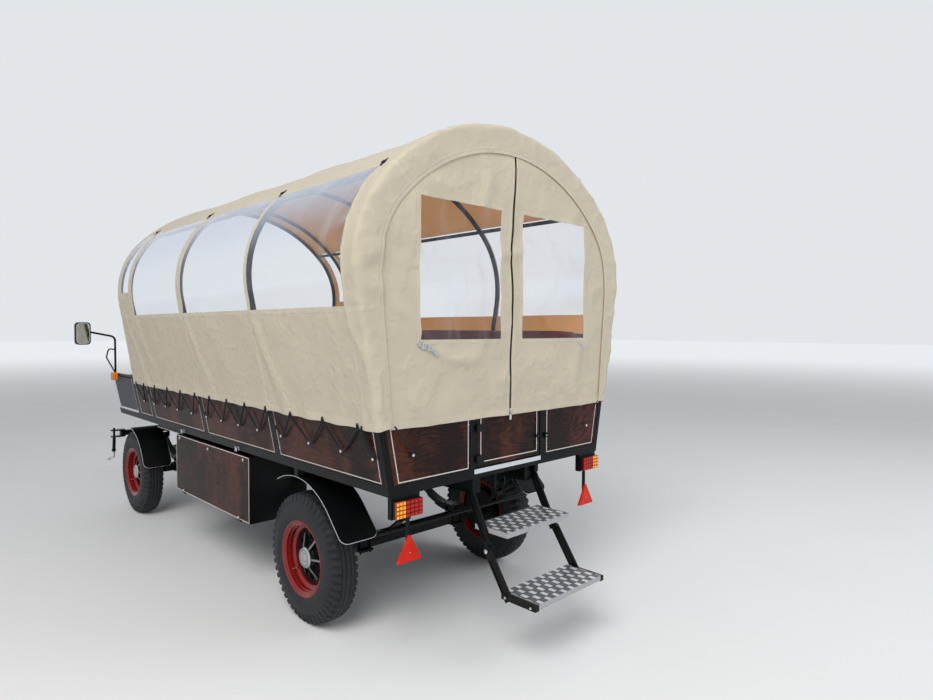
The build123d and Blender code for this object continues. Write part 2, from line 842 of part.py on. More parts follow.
def hub_solid():
    """A hub with its ringed cap, a disc with ribs and round windows, wheel nuts and the drum."""
    half = disc_thick / 2
    cap_step = hub_reach / 8
    outline = [
        (bore, -hub_back),
        (hub_radius, -hub_back),
        (hub_radius, -half),
        (disc_reach, -half),
        (disc_reach, half),
        (hub_flange, half),
        (hub_flange, 2 * half),
        (hub_radius, 2 * half),
        (hub_radius, hub_reach - cap_step),
        (hub_radius - cap_step, hub_reach),
        (hub_radius - 2 * cap_step, hub_reach),
        (hub_radius - 3 * cap_step, hub_reach - cap_step / 2),
        (bore - cap_step, hub_reach - cap_step / 2),
        (bore - 2 * cap_step, hub_reach),
        (0, hub_reach),
        (0, hub_reach - stub_radius + cap_step),
        (bore, hub_reach - stub_radius + cap_step),
    ]
    hub = revolve(make_face(Polyline(*outline, close=True)), Axis.Y)
    drum_end = -half - drum_depth
    drum_outline = [
        (drum_radius - drum_wall, -half),
        (drum_radius, -half),
        (drum_radius, drum_end),
        (drum_radius - drum_wall, drum_end),
    ]
    hub += revolve(make_face(Polyline(*drum_outline, close=True)), Axis.Y)
    rib_outline = [
        (hub_radius - half, half),
        (disc_reach - rib_thick, half),
        (disc_reach - 2 * rib_thick, 2 * half),
        (hub_radius - half, hub_reach - 2 * half),
    ]
    rib_face = make_face(Polyline(*rib_outline, close=True))
    for index in range(disc_ribs):
        turn = Rot(0, 360 / disc_ribs * index, 0)
        between = Rot(0, 360 / disc_ribs * (index + 0.5), 0)
        hub += turn * Pos(0, 0, -rib_thick / 2) * extrude(rib_face, rib_thick)
        hub -= between * Pos(window_circle, 0, 0) * Rot(90, 0, 0) * Cylinder(disc_window, 2 * disc_thick)
        hub += between * Pos(nut_circle, disc_thick, 0) * Rot(90, 0, 0) * Cylinder(nut_radius, disc_thick)
    return hub


tyre = tyre_solid()
rim = rim_solid()
hub = hub_solid()
for end, station in (("rear", rear_axle_station), ("front", front_axle_station)):
    for hand, side in (("left", 1), ("right", -1)):
        for name, part in (("tyre", tyre), ("rim", rim), ("hub", hub)):
            sided = part if side > 0 else mirror(part, about=Plane.XZ)
            write(f"{name}_{end}_{hand}", Pos(station, side * track_half, tyre_radius) * sided)


def mudguard(station, radius, start, stop, tail):
    """A curved sheet over the wheel from start to stop, in degrees, then a straight tail."""
    first, halfway, last = radians(start), radians((start + stop) / 2), radians(stop)
    drop = Vector(-sin(last) * tail, cos(last) * tail)
    points = []
    for reach in (radius, radius + guard_sheet):
        points.append([Vector(reach * cos(a), reach * sin(a)) for a in (first, halfway, last)])
    inner, outer = points
    face = make_face(
        [
            ThreePointArc(*inner),
            Line(inner[2], inner[2] + drop),
            Line(inner[2] + drop, outer[2] + drop),
            Line(outer[2] + drop, outer[2]),
            ThreePointArc(*reversed(outer)),
            Line(outer[0], inner[0]),
        ]
    )
    sheet = Pos(station, guard_outer, tyre_radius) * extrude(Plane.XZ * face, guard_outer - guard_inner)
    end = (inner[2] + outer[2]) / 2 + drop
    corners = sheet.edges().filter_by(
        lambda e: hypot(e.center().X - station - end.X, e.center().Z - tyre_radius - end.Y) < guard_sheet
        and e.length < 2 * guard_sheet
    )
    return fillet(corners, guard_corner)


# Rear mudguards on stays from the body frame, their tails tied to each other
rear_arc = (62, 136)
rear_tail = 190
rear_guard = mudguard(rear_axle_station, rear_guard_radius, *rear_arc, rear_tail)
stay = block(
    rear_axle_station - post_depth / 2,
    rear_axle_station + post_depth / 2,
    rail_inner + stay_inset,
    rail_half - stay_inset,
    tyre_radius + rear_guard_radius + guard_sheet / 2,
    rail_bottom,
)
tie_angle = radians(rear_arc[1])
tie_across = rear_guard_radius - tie_radius + 1
tie_along = rear_tail - tie_radius - guard_sheet
tie_x = rear_axle_station + tie_across * cos(tie_angle) - tie_along * sin(tie_angle)
tie_z = tyre_radius + tie_across * sin(tie_angle) + tie_along * cos(tie_angle)
tie_half = guard_inner + guard_corner
tie = cross_rod(tie_x, -tie_half, tie_half, tie_z, tie_radius)
write("rear_mudguards", both_sides(rear_guard + stay) + tie)

# Front bogie: lower ring, side members, spring mounts and the drawbar cheeks
lower_ring_top = ring_top - ring_thick - ring_gap
bogie_top = lower_ring_top - ring_thick
member_outer = bogie_member_inner + bogie_member
bogie_low = bogie_top - bogie_member
bogie = Pos(front_axle_station, 0, lower_ring_top - ring_thick / 2) * (
    Cylinder(ring_radius, ring_thick) - Cylinder(ring_radius - ring_width, ring_thick)
)
bogie_rear = front_axle_station - spring_span / 2 - bogie_member / 2
bogie_front = splinter_station + splinter_size / 2
bogie += both_sides(block(bogie_rear, bogie_front, bogie_member_inner, member_outer, bogie_low, bogie_top))
for end, shackled in ((-spring_span / 2, True), (spring_span / 2, False)):
    station = front_axle_station + end
    bogie += block(
        station - cross_depth / 2, station + cross_depth / 2, -mount_half, mount_half, bogie_low, bogie_top
    )
    bogie += spring_mount(station, bogie_top - cross_depth / 2, shackled)
cheek_y = bush_half + cheek_gap
cheek_half = draw_depth / 2
cheek = side_plate(
    [
        (bogie_front, bogie_top),
        (bogie_front + cheek_half, bogie_top),
        (draw_hinge_station + cheek_half, draw_hinge_height + cheek_half / 2),
        (draw_hinge_station + cheek_half, draw_hinge_height - cheek_half),
        (draw_hinge_station - cheek_half, draw_hinge_height - cheek_half),
        (draw_hinge_station - cheek_half, draw_hinge_height + cheek_half / 2),
        (bogie_front + 1, bogie_low - splinter_size),
        (bogie_front, bogie_low),
    ],
    cheek_y,
    cheek_y + cheek_thick,
)
bogie += both_sides(cheek)
beam_rear = bogie_front - bogie_member
bogie += block(beam_rear, bogie_front, -bogie_member_inner, bogie_member_inner, bogie_low, bogie_top)
pin_end = cheek_y + cheek_thick + pin_radius
bogie += cross_rod(draw_hinge_station, -pin_end, pin_end, draw_hinge_height, pin_radius)
write("front_bogie", bogie)
write("front_axle", axle(front_axle_station))
front_pack = spring_pack(front_axle_station)
write("front_springs", front_pack, mirror(front_pack, about=Plane.XZ))

# Front mudguards on stays from the bogie's side members
front_arc = (96, 152)
front_tail = 110
stay_angle = 110
stay_inner = member_outer + pane_gap
stay_outer = guard_inner + stay_inset * 4
front_guard = mudguard(front_axle_station, front_guard_radius, *front_arc, front_tail)
front_guard += (
    Pos(front_axle_station, (stay_inner + stay_outer) / 2, tyre_radius)
    * Rot(0, -stay_angle, 0)
    * Pos(front_guard_radius - stay_inset, 0, 0)
    * Box(hanger_thick, stay_outer - stay_inner, post_depth)
)
write("front_mudguards", front_guard, mirror(front_guard, about=Plane.XZ))

# Splinter bar across the front of the bogie, with a fork and a hanging hook bar at each end
bar_high = bogie_low
bar_low = bar_high - splinter_size
arm_drop = 105
splinter = block(
    splinter_station - splinter_size / 2,
    splinter_station + splinter_size / 2,
    -splinter_half,
    splinter_half,
    bar_low,
    bar_high,
)
pin_y = splinter_half + fork_reach - fork_pin_inset
for low in (bar_low - fork_thick, bar_high):
    fork = block(
        splinter_station - fork_half,
        splinter_station + fork_half,
        splinter_half - fork_half - fork_pin_radius,
        pin_y,
        low,
        low + fork_thick,
    )
    fork += rod((splinter_station, pin_y, low), (splinter_station, pin_y, low + fork_thick), fork_half)
    splinter += both_sides(fork)
pin_low = bar_low - 3 * fork_pin_radius
pin_high = bar_high + 3 * fork_pin_radius
splinter += both_sides(
    rod((splinter_station, pin_y, pin_low), (splinter_station, pin_y, pin_high), fork_pin_radius)
)
arm_start = (splinter_station, pin_y, pin_low + fork_pin_radius)
arm_end = (splinter_station - 2 * fork_pin_radius, pin_y + fork_pin_radius, pin_low - arm_drop)
splinter += both_sides(bar(arm_start, arm_end, hook_bar, hook_bar))
splinter += both_sides(Pos(*arm_end) * Sphere(2 * fork_pin_radius))
write("splinter_bar", splinter)

# Drawbar, modelled level and then laid down until its eye rests on the ground
hinge = (draw_hinge_station, 0, draw_hinge_height)
eye_station = draw_hinge_station + draw_length
neck = eye_outer + draw_depth
eye = Pos(eye_station, 0, draw_hinge_height) * Cylinder(eye_outer, eye_thick)
drawbar = fillet(eye.edges(), eye_round)
drawbar += bar(hinge, (eye_station - neck, 0, draw_hinge_height), draw_width, draw_depth)
drawbar += side_plate(
    [
        (eye_station - neck - 1, draw_hinge_height - draw_depth / 2),
        (eye_station - neck - 1, draw_hinge_height + draw_depth / 2),
        (eye_station - eye_outer + eye_round, draw_hinge_height + eye_thick / 2),
        (eye_station - eye_outer + eye_round, draw_hinge_height - eye_thick / 2),
    ],
    -draw_width / 2,
    draw_width / 2,
)
drawbar += Pos(*hinge) * Rot(90, 0, 0) * Cylinder(bush_radius, 2 * bush_half)
drawbar -= Pos(eye_station, 0, draw_hinge_height) * Cylinder(eye_bore, 2 * eye_thick)
drawbar -= Pos(*hinge) * Rot(90, 0, 0) * Cylinder(pin_radius + pin_clearance, 4 * bush_half)
drawbar = Pos(*hinge) * Rot(0, rest_angle, 0) * Pos(-hinge[0], 0, -hinge[2]) * drawbar
write("drawbar", drawbar)


def tread(x0, x1, top):
    """A folded plate tread, open underneath."""
    plate = block(x0, x1, -tread_half, tread_half, top - tread_thick, top)
    return plate - block(
        x0 + tread_sheet,
        x1 - tread_sheet,
        tread_sheet - tread_half,
        tread_half - tread_sheet,
        top - tread_thick - tread_sheet,
        top - tread_sheet,
    )


def stringer(start, end, inner, run_on):
    """A shallow channel from start to end, its web inside and its two edges turned outward."""
    y = inner + stringer_thick / 2
    channel = bar((start[0], y, start[1]), (end[0], y, end[1]), stringer_thick, stringer_width)
    long = hypot(end[0] - start[0], end[1] - start[1])
    along = ((end[0] - start[0]) / long, (end[1] - start[1]) / long)
    depth = stringer_thick - stringer_web
    groove_y = inner + stringer_web + depth / 2
    near = stringer_width
    far = long - run_on
    return channel - bar(
        (start[0] + along[0] * near, groove_y, start[1] + along[1] * near),
        (start[0] + along[0] * far, groove_y, start[1] + along[1] * far),
        depth,
        stringer_width - 2 * stringer_edge,
    )


# Upper steps, fixed to the rear of the frame
upper = stringer(stringer_top, knuckle, tread_half, stringer_width)
foot_rear, foot_front = 20, 130
upper += block(foot_rear, foot_front, beam_outer, tread_half + stringer_thick, cross_low, rail_bottom)
pin_outer = tread_half + 2 * stringer_thick + 2 * knuckle_gap
upper += cross_rod(knuckle[0], tread_half, pin_outer, knuckle[1], knuckle_pin_radius)
write("step_stringers", both_sides(upper))
write("upper_tread", tread(upper_tread_rear, upper_tread_front, upper_tread_height))

# Lower step, folding about the knuckles
leg_inner = tread_half + stringer_thick + knuckle_gap
leg_outer = leg_inner + stringer_thick
leg = stringer(knuckle, stringer_low, leg_inner, 0)
leg += cross_rod(knuckle[0], leg_inner, leg_outer, knuckle[1], stringer_width / 2)
leg += block(
    lower_tread_rear,
    lower_tread_front,
    tread_half,
    leg_outer,
    lower_tread_height - tread_thick - stringer_edge,
    lower_tread_height - stringer_edge,
)
leg -= cross_rod(knuckle[0], 0, 2 * tread_half, knuckle[1], knuckle_pin_radius + pin_clearance)
write("lower_stringers", leg, mirror(leg, about=Plane.XZ))
write("lower_tread", tread(lower_tread_rear, lower_tread_front, lower_tread_height))

# Storage boxes under the sides with drop-down lids
store = block(box_rear, box_front, box_inner, box_outer, box_bottom, box_top)
store -= block(
    box_rear + box_wall,
    box_front - box_wall,
    box_inner + box_wall,
    box_outer + box_wall,
    box_bottom + box_wall,
    box_top - box_wall,
)
write("storage_boxes", store, mirror(store, about=Plane.XZ))
lid_inner = box_outer + lid_gap
lid_outer = lid_inner + board_thick
lid = block(box_rear, box_front, lid_inner, lid_outer, box_bottom + lid_foot, box_top)
for station in (box_rear + lid_hinge_inset, box_front - lid_hinge_inset):
    barrel_start = (station - lid_hinge_half, lid_outer, box_bottom)
    barrel_end = (station + lid_hinge_half, lid_outer, box_bottom)
    lid += rod(barrel_start, barrel_end, lid_hinge_radius)
write("box_lid_left", lid)
write("box_lid_right", mirror(lid, about=Plane.XZ))

# Passenger benches along both sides: seat board on legs, back board on posts
bench_front = cabin_length - bench_front_gap
seat_under = seat_height - seat_board
seat_outer = half_at(seat_under, -post_depth - stay_inset)
back_foot = seat_height + back_low
back_top = back_foot + back_height
post_outer = post_depth + stay_inset
board_outer = post_outer + back_post
bench = block(bench_rear, bench_front, bench_aisle, seat_outer, seat_under, seat_height)
back_outline = wall_outline(back_foot, back_top, board_outer, board_outer + back_board)
bench += end_plate(back_outline, bench_rear, bench_front)
for station in (bench_rear + 2 * post_depth, *post_centres[1:4]):
    rear, front = station - post_depth / 2, station + post_depth / 2
    bench += block(rear, front, bench_aisle + back_post, bench_aisle + rail_width, floor_top, seat_under)
    bench += end_plate(wall_outline(seat_under, back_top - back_post, post_outer, board_outer), rear, front)
write("benches", bench, mirror(bench, about=Plane.XZ))

# Driver's bench
driver_rear = cabin_length + driver_gap
driver_front = driver_rear + driver_depth
driver_top = seat_height + back_post
driver_under = driver_top - driver_seat
driver = block(driver_rear, driver_front, -driver_half, driver_half, driver_under, driver_top)
driver += block(
    driver_rear, driver_rear + 2 * back_board, -driver_half, driver_half, driver_top, driver_top + driver_back
)
leg_half = post_depth / 2
leg_y = driver_half - post_width - post_depth
leg_rear = driver_rear + leg_half
leg_front = driver_front - leg_half
driver += both_sides(
    block(leg_rear, leg_front, leg_y - leg_half, leg_y + leg_half, floor_top, driver_under)
)
write("drivers_bench", driver)


def pad(cushion):
    """A cushion with its long edges rounded."""
    return fillet(cushion.edges().filter_by(Axis.X), pad_round)


# Seat and back cushions of the three benches
seat_low = seat_height + pad_gap
pad_inner = board_outer + back_board + pad_gap
pad_face = pad_inner + pad_thick
seat_pad_outer = half_at(seat_low, -pad_face)
seat_pad = pad(
    block(bench_rear, bench_front, bench_aisle, seat_pad_outer, seat_low, seat_low + pad_thick)
)
back_pad = pad(end_plate(wall_outline(back_foot, back_top, pad_inner, pad_face), bench_rear, bench_front))
driver_low = driver_top + pad_gap
driver_face = driver_rear + 2 * back_board + pad_gap
driver_pads = [
    block(driver_face, driver_front, -driver_half, driver_half, driver_low, driver_low + pad_thick),
    block(
        driver_face, driver_face + pad_thick, -driver_half, driver_half,
        driver_low + pad_thick + pad_gap, driver_top + driver_back,
    ),
]
write(
    "cushions",
    seat_pad,
    back_pad,
    mirror(seat_pad, about=Plane.XZ),
    mirror(back_pad, about=Plane.XZ),
    *[fillet(driver_pad.edges().filter_by(Axis.Y), pad_round) for driver_pad in driver_pads],
)

# Driver's footwell: leaning side panels and a dash board
foot_top = wall_top
side_panel = end_plate(wall_outline(rail_top, foot_top, 0, foot_sheet), cabin_length + foot_gap, dash_station)
dash = end_plate(
    [
        (half_at(rail_top), rail_top),
        (half_at(foot_top), foot_top),
        (-half_at(foot_top), foot_top),
        (-half_at(rail_top), rail_top),
    ],
    dash_station,
    dash_station + dash_thick,
)
write("footwell", both_sides(side_panel) + dash)


def bent_rod(points, bend, radius):
    """A round rod along straight runs with bends of one radius."""
    path = FilletPolyline(*points, radius=bend)
    return sweep(Plane(origin=path @ 0, z_dir=path % 0) * Circle(radius), path)


# Mirror arms and grab loops, on the rail along the footwell's top edge
rail_line = half_at(foot_top) - foot_rail_radius
rail_height = foot_top + foot_rail_radius
arm_x = dash_station - loop_gap
loop_x = arm_x - arm_radius - loop_radius
arm_top = foot_top + mirror_rise
head_low = arm_top + rail_width - 2 * arm_radius - mirror_height / 2
head_inner = mirror_outer - mirror_width
mirror_set = rod(
    (cabin_length + foot_gap, rail_line, rail_height),
    (dash_station + dash_thick, rail_line, rail_height),
    foot_rail_radius,
)
mirror_set += bent_rod(
    [
        (arm_x, rail_line, rail_height),
        (arm_x, rail_line, arm_top),
        (arm_x + arm_radius, head_inner + loop_radius, arm_top + rail_width - arm_radius / 2),
    ],
    5 * arm_radius,
    arm_radius,
)
mirror_set += bent_rod(
    [
        (loop_x, rail_line, rail_height),
        (loop_x, rail_line + 2 * post_depth, rail_height + 4 * post_depth),
        (loop_x, rail_line + post_width, rail_height + 6 * post_depth),
        (arm_x, rail_line, rail_height + 6 * post_depth - arm_radius),
    ],
    4 * loop_radius,
    loop_radius,
)
head_high = head_low + mirror_height
glass_x = arm_x - arm_radius
head = block(glass_x, glass_x + mirror_deep, head_inner, mirror_outer, head_low, head_high)
mirror_set += fillet(head.edges().filter_by(Axis.X), mirror_deep * 3 / 4)
write("mirrors", mirror_set, mirror(mirror_set, about=Plane.XZ))

# Rear lamps, red inside and amber outside, in housings under the rail, with a reflector below each
lamp_outer = lamp_inner + lamp_width
lamp_high = lamp_low + lamp_height
split = lamp_outer - indicator_share * lamp_width
housing_inner = lamp_inner - lamp_round
housing_outer = lamp_outer + lamp_round
housing = block(0, bracket_deep, housing_inner, housing_outer, lamp_low - lamp_round, rail_bottom)
lamp_middle = (lamp_inner + lamp_outer) / 2 - stay_inset * 4
reflector_back = bracket_deep / 6
strap_half = stay_inset * 1.5
housing += block(
    reflector_back, bracket_deep * 2 / 3, lamp_middle - strap_half, lamp_middle + strap_half,
    reflector_low + reflector_side / 2, lamp_low,
)
write("lamp_brackets", housing, mirror(housing, about=Plane.XZ))
for name, y0, y1 in (("rear_lamps", lamp_inner, split), ("rear_indicators", split + lamp_gap, lamp_outer)):
    lens = block(-lamp_deep, -lamp_gap, y0, y1, lamp_low, lamp_high)
    lens = fillet(lens.edges().filter_by(Axis.Y), lamp_round)
    write(name, lens, mirror(lens, about=Plane.XZ))
corner_up = reflector_low + reflector_side * cos(radians(30))
reflector = end_plate(
    [
        (lamp_middle - reflector_side / 2, reflector_low),
        (lamp_middle + reflector_side / 2, reflector_low),
        (lamp_middle, corner_up),
    ],
    reflector_back - lamp_gap - reflector_deep,
    reflector_back - lamp_gap,
)
reflector = fillet(reflector.edges().filter_by(Axis.X), reflector_round)
write("reflectors", reflector, mirror(reflector, about=Plane.XZ))

# Marker lamps at the front, against the rail of the footwell
marker_station = dash_station - marker_gap
marker_back = rail_line + foot_rail_radius + lamp_gap
marker = block(
    marker_station - marker_half,
    marker_station + marker_half,
    marker_back,
    marker_back + marker_deep,
    rail_height - 1.4 * marker_half,
    rail_height + 0.6 * marker_half,
)
marker = fillet(marker.edges().filter_by(Axis.Y), marker_half / 3)
write("front_lamps", marker, mirror(marker, about=Plane.XZ))
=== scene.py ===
from math import acos, asin, atan, atan2, ceil, copysign, cos, exp, hypot, pi, radians, sin, tan
import bmesh
import bpy
from mathutils import Matrix, Vector, noise


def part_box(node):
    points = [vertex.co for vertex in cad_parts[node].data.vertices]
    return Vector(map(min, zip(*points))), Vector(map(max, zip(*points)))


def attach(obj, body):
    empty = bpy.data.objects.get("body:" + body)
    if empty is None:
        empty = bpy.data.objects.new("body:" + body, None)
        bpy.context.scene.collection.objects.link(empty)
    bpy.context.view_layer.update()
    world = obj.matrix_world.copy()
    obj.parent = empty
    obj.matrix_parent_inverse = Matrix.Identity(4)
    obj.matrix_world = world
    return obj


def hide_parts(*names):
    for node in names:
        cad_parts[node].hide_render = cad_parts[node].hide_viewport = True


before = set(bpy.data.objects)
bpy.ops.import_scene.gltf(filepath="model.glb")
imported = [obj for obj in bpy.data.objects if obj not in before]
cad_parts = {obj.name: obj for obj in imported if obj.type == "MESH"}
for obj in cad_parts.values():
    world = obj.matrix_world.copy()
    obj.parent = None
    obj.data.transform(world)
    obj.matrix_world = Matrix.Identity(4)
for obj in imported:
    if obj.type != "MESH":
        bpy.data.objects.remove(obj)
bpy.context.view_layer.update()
rear_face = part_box("body_frame")[0].x

# The place from which the wagon is seen: behind its left rear corner, at eye height.
# Stations are metres forward of the body's rear face, as a wagon builder's tape reads.


def station(x):
    """Place along the frame of a point so far forward of the body's rear face."""
    return rear_face + x


eye = Vector((station(-2.3941), 2.6812, 1.7382))
eye_yaw = -0.772
eye_pitch = -0.0331
eye_roll = 0.0034
view_px = 933
focal_px = 628.37
ahead = Vector((cos(eye_yaw), sin(eye_yaw), tan(eye_pitch))).normalized()
right = Vector((sin(eye_yaw), -cos(eye_yaw), 0))
above = right.cross(ahead)
across = cos(eye_roll) * right + sin(eye_roll) * above
upward = -sin(eye_roll) * right + cos(eye_roll) * above
lens = bpy.data.cameras.new("camera")
lens.sensor_width = 36
lens.lens = lens.sensor_width * focal_px / view_px
lens.clip_end = 400
camera = bpy.data.objects.new("camera", lens)
bpy.context.scene.collection.objects.link(camera)
camera.matrix_world = Matrix.Translation(eye) @ Matrix((across, upward, -ahead)).transposed().to_4x4()
bpy.context.scene.camera = camera
bpy.context.scene.view_settings.view_transform = "Standard"

# Soft overcast studio: an even pale dome, one broad lamp high on the left and a weak one
# from behind, over a plain pale floor.


class Wire:
    """An output socket of one material's nodes; sums and products of wires add Math nodes."""

    def __init__(self, tree, socket):
        self.tree = tree
        self.socket = socket

    def node(self, kind, settings, inputs, out=0):
        """Add a node: its settings, then the values or wires of its inputs by name or place."""
        made = self.tree.nodes.new("ShaderNode" + kind)
        for name, value in settings.items():
            setattr(made, name, value)
        for name, value in inputs.items():
            if isinstance(value, Wire):
                self.tree.links.new(value.socket, made.inputs[name])
            else:
                made.inputs[name].default_value = value
        return Wire(self.tree, made.outputs[out])

    def math(self, operation, *terms):
        """A Math node on this wire and further terms."""
        return self.node("Math", {"operation": operation}, dict(enumerate((self, *terms))))

    def __add__(self, other):
        return self.math("ADD", other)

    def __sub__(self, other):
        return self.math("SUBTRACT", other)

    def __rsub__(self, other):
        return self.node("Math", {"operation": "SUBTRACT"}, {0: other, 1: self})

    def __mul__(self, other):
        return self.math("MULTIPLY", other)

    def __truediv__(self, other):
        return self.math("DIVIDE", other)

    def __or__(self, other):
        return self.math("MAXIMUM", other)

    def __abs__(self):
        return self.math("ABSOLUTE")

    __radd__ = __add__
    __rmul__ = __mul__

    def step(self, low, high):
        """0 below low, 1 above high, smooth between."""
        limits = {"Value": self, "From Min": low, "From Max": high}
        return self.node("MapRange", {"interpolation_type": "SMOOTHSTEP"}, limits)

    def band(self, centre, half, edge):
        """1 within half of the centre, 0 further out, with an edge so wide."""
        return 1 - abs(self - centre).step(half, half + edge)

    def repeat(self, pitch):
        """Distance to the nearest multiple of a pitch, as a share of it from 0 to 0.5."""
        return (self / pitch).math("PINGPONG", 0.5)

    def blend(self, first, second):
        """The first colour where this wire is 0, the second where it is 1."""
        colours = [value if isinstance(value, Wire) else (*value, 1) for value in (first, second)]
        return self.node("Mix", {"data_type": "RGBA"}, {0: self, 6: colours[0], 7: colours[1]}, out=2)

    def stretch(self, x, y, z):
        """These coordinates, multiplied along each axis."""
        return self.node("VectorMath", {"operation": "MULTIPLY"}, {0: self, 1: (x, y, z)})

    def clouds(self, size, detail=4.0, rough=0.5):
        """Soft noise on these coordinates, size in features to the metre."""
        grain = {"Vector": self, "Scale": size, "Detail": detail, "Roughness": rough}
        return self.node("TexNoise", {"noise_dimensions": "3D"}, grain)

    def axes(self):
        """The X, Y and Z of these coordinates, as three wires."""
        first = self.node("SeparateXYZ", {}, {0: self})
        return [Wire(self.tree, output) for output in first.socket.node.outputs]


class Finish:
    """A surface finish: one Principled shader, and the wires that vary it over the piece."""

    def __init__(self, name, **fixed):
        self.material = bpy.data.materials.new(name)
        self.material.use_nodes = True
        tree = self.material.node_tree
        self.shader = tree.nodes["Principled BSDF"]
        start = tree.nodes.new("ShaderNodeTexCoord")
        outputs = [start.outputs[name] for name in ("Object", "UV", "Normal")]
        self.place, self.flat, self.up = [Wire(tree, output) for output in outputs]
        for name, value in fixed.items():
            self.shader.inputs[name.replace("_", " ")].default_value = value

    def vary(self, socket, wire):
        """Let a wire set one of the shader's sockets."""
        wire.tree.links.new(wire.socket, self.shader.inputs[socket])

    def colour(self, tone, glows=False):
        """Its colour over the piece, which may glow a little as if light came through."""
        self.vary("Base Color", tone)
        if glows:
            self.vary("Emission Color", tone)

    def bump(self, height, metres):
        """Raise the surface by the wire's height, 1 being so many metres."""
        self.vary("Normal", height.node("Bump", {}, {"Height": height, "Distance": metres, "Strength": 1.0}))


world = bpy.data.worlds.new("overcast")
bpy.context.scene.world = world
world.use_nodes = True
sky = world.node_tree
rays = sky.nodes.new("ShaderNodeLightPath")
kinds = ("Is Camera Ray", "Is Glossy Ray", "Is Transmission Ray")
seen, mirrored, through = [Wire(sky, rays.outputs[kind]) for kind in kinds]
shown = (seen + mirrored + through).math("MINIMUM", 1.0)
backdrop_white = 0.82
dome_light = 0.47
haze = (0.93, 0.965, 1.0)
strength = shown * backdrop_white + (1 - shown) * dome_light
sky.nodes["Background"].inputs["Color"].default_value = (*haze, 1)
sky.links.new(strength.socket, sky.nodes["Background"].inputs["Strength"])

for name, place, target, watts, colour in (
    ("key_lamp", (-6.0, 6.5, 8.0), (0, 0, 1.4), 860, (1.0, 0.98, 0.95)),
    ("back_lamp", (-9.0, -5.0, 6.0), (-1, 0, 1.4), 320, (0.95, 0.98, 1.0)),
):
    light = bpy.data.lights.new(name, "AREA")
    light.size = 6.0
    light.energy = watts
    light.color = colour
    lamp = bpy.data.objects.new(name, light)
    bpy.context.scene.collection.objects.link(lamp)
    lamp.location = place
    lamp.rotation_euler = (Vector(target) - Vector(place)).to_track_quat("-Z", "Y").to_euler()
    lamp.visible_glossy = False    # the clear sheets don't mirror it

floor_half = 90
bpy.ops.mesh.primitive_grid_add(x_subdivisions=1, y_subdivisions=1, size=2 * floor_half)
ground = bpy.context.object
ground.name = "studio_floor"
plain = Finish("pale_floor", Roughness=0.8, Specular_IOR_Level=0.2, Emission_Strength=backdrop_white)
floor_x, floor_y, _ = plain.place.axes()
distant = (floor_x * floor_x + floor_y * floor_y).math("SQRT").step(5.0, 40.0)
near_tone = plain.place.clouds(0.8).blend((0.73, 0.735, 0.74), (0.77, 0.775, 0.78))
plain.vary("Base Color", distant.blend(near_tone, (0, 0, 0)))
plain.vary("Emission Color", distant.blend((0, 0, 0), haze))
ground.data.materials.append(plain.material)

# Rails, chassis, axles and brackets: welded mild steel, sprayed satin black, a little dusty
# low down where the road throws it up.


def black_paint(name, dust, bright_marks=None):
    """Satin black paint, with road dust that thins out upwards; its bright marks are bare metal, or a
    painted highlight drawn as metal.
    """
    paint = Finish(name, Coat_Roughness=0.12, Specular_IOR_Level=0.12)
    height = paint.place.axes()[2]
    patches = paint.place.clouds(3.0, 5.0, 0.6)
    dusty = (1 - height.step(0.25, 1.0)) * patches.step(0.35, 0.75) * dust
    tone = dusty.blend((0.0030, 0.0040, 0.0046), (0.024, 0.0215, 0.019))
    rough = paint.place.clouds(40.0) * 0.15 + 0.27 + dusty * 0.3
    if bright_marks:
        shine = bright_marks(paint.place)
        tone = shine.blend(tone, (0.50, 0.51, 0.53))
        rough = rough - shine * 0.1
        paint.vary("Metallic", shine)
    paint.colour(tone)
    paint.vary("Roughness", rough)
    paint.vary("Coat Weight", 0.05 - dusty * 0.05)
    paint.bump(paint.place.clouds(160.0, 3.0), 0.0004)
    return paint.material


def wear(nodes, material):
    """Give CAD nodes their finish."""
    for name in nodes.split():
        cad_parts[name].data.materials.clear()
        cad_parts[name].data.materials.append(material)


steel = black_paint("satin_black", 0.5)
wear("chassis_frame body_frame wall_frames hoops purlins storage_boxes rear_axle rear_springs", steel)
wear("rear_mudguards front_bogie front_axle front_springs front_mudguards splinter_bar drawbar", steel)
wear("step_stringers lower_stringers lamp_brackets mirrors", steel)

# Wheels: ribbed road tyres with notched shoulders on red steel rims, black hubs between.
# A tyre is moulded in one piece, so each is one skin turned about the axle's line.
wheels = ("rear_left", "rear_right", "front_left", "front_right")
tyre_half = 0.088        # half the section width, at the widest part of the sidewall
tread_half = 0.069
bead_half = 0.068
bead_radius = 0.2035
groove_depth = 0.009
groove_slope = 0.002     # run of a groove's wall
zigzag = 0.0025          # sideways throw of the grooves
zigzags = 44
shoulder_lugs = 50
notch_depth = 0.0055
notch_share = 0.36       # of a lug's pitch
notch_inward = 2.2       # how much deeper a notch cuts into the shoulder's side
turns_per_lug = 8        # steps of the skin in one lug
sidewall_steps = 12
rib_edges = [0.011, 0.018, 0.036, 0.043]


def piece(name, corners, faces, body, material):
    """A smooth mesh piece that rides on a body."""
    mesh = bpy.data.meshes.new(name)
    mesh.from_pydata([tuple(point) for point in corners], [], faces)
    mesh.validate()
    mesh.materials.append(material)
    mesh.polygons.foreach_set("use_smooth", [True] * len(mesh.polygons))
    made = bpy.data.objects.new(name, mesh)
    bpy.context.scene.collection.objects.link(made)
    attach(made, body)
    return made


def clamp(value):
    """The value, kept from 0 to 1."""
    return min(1, max(0, value))


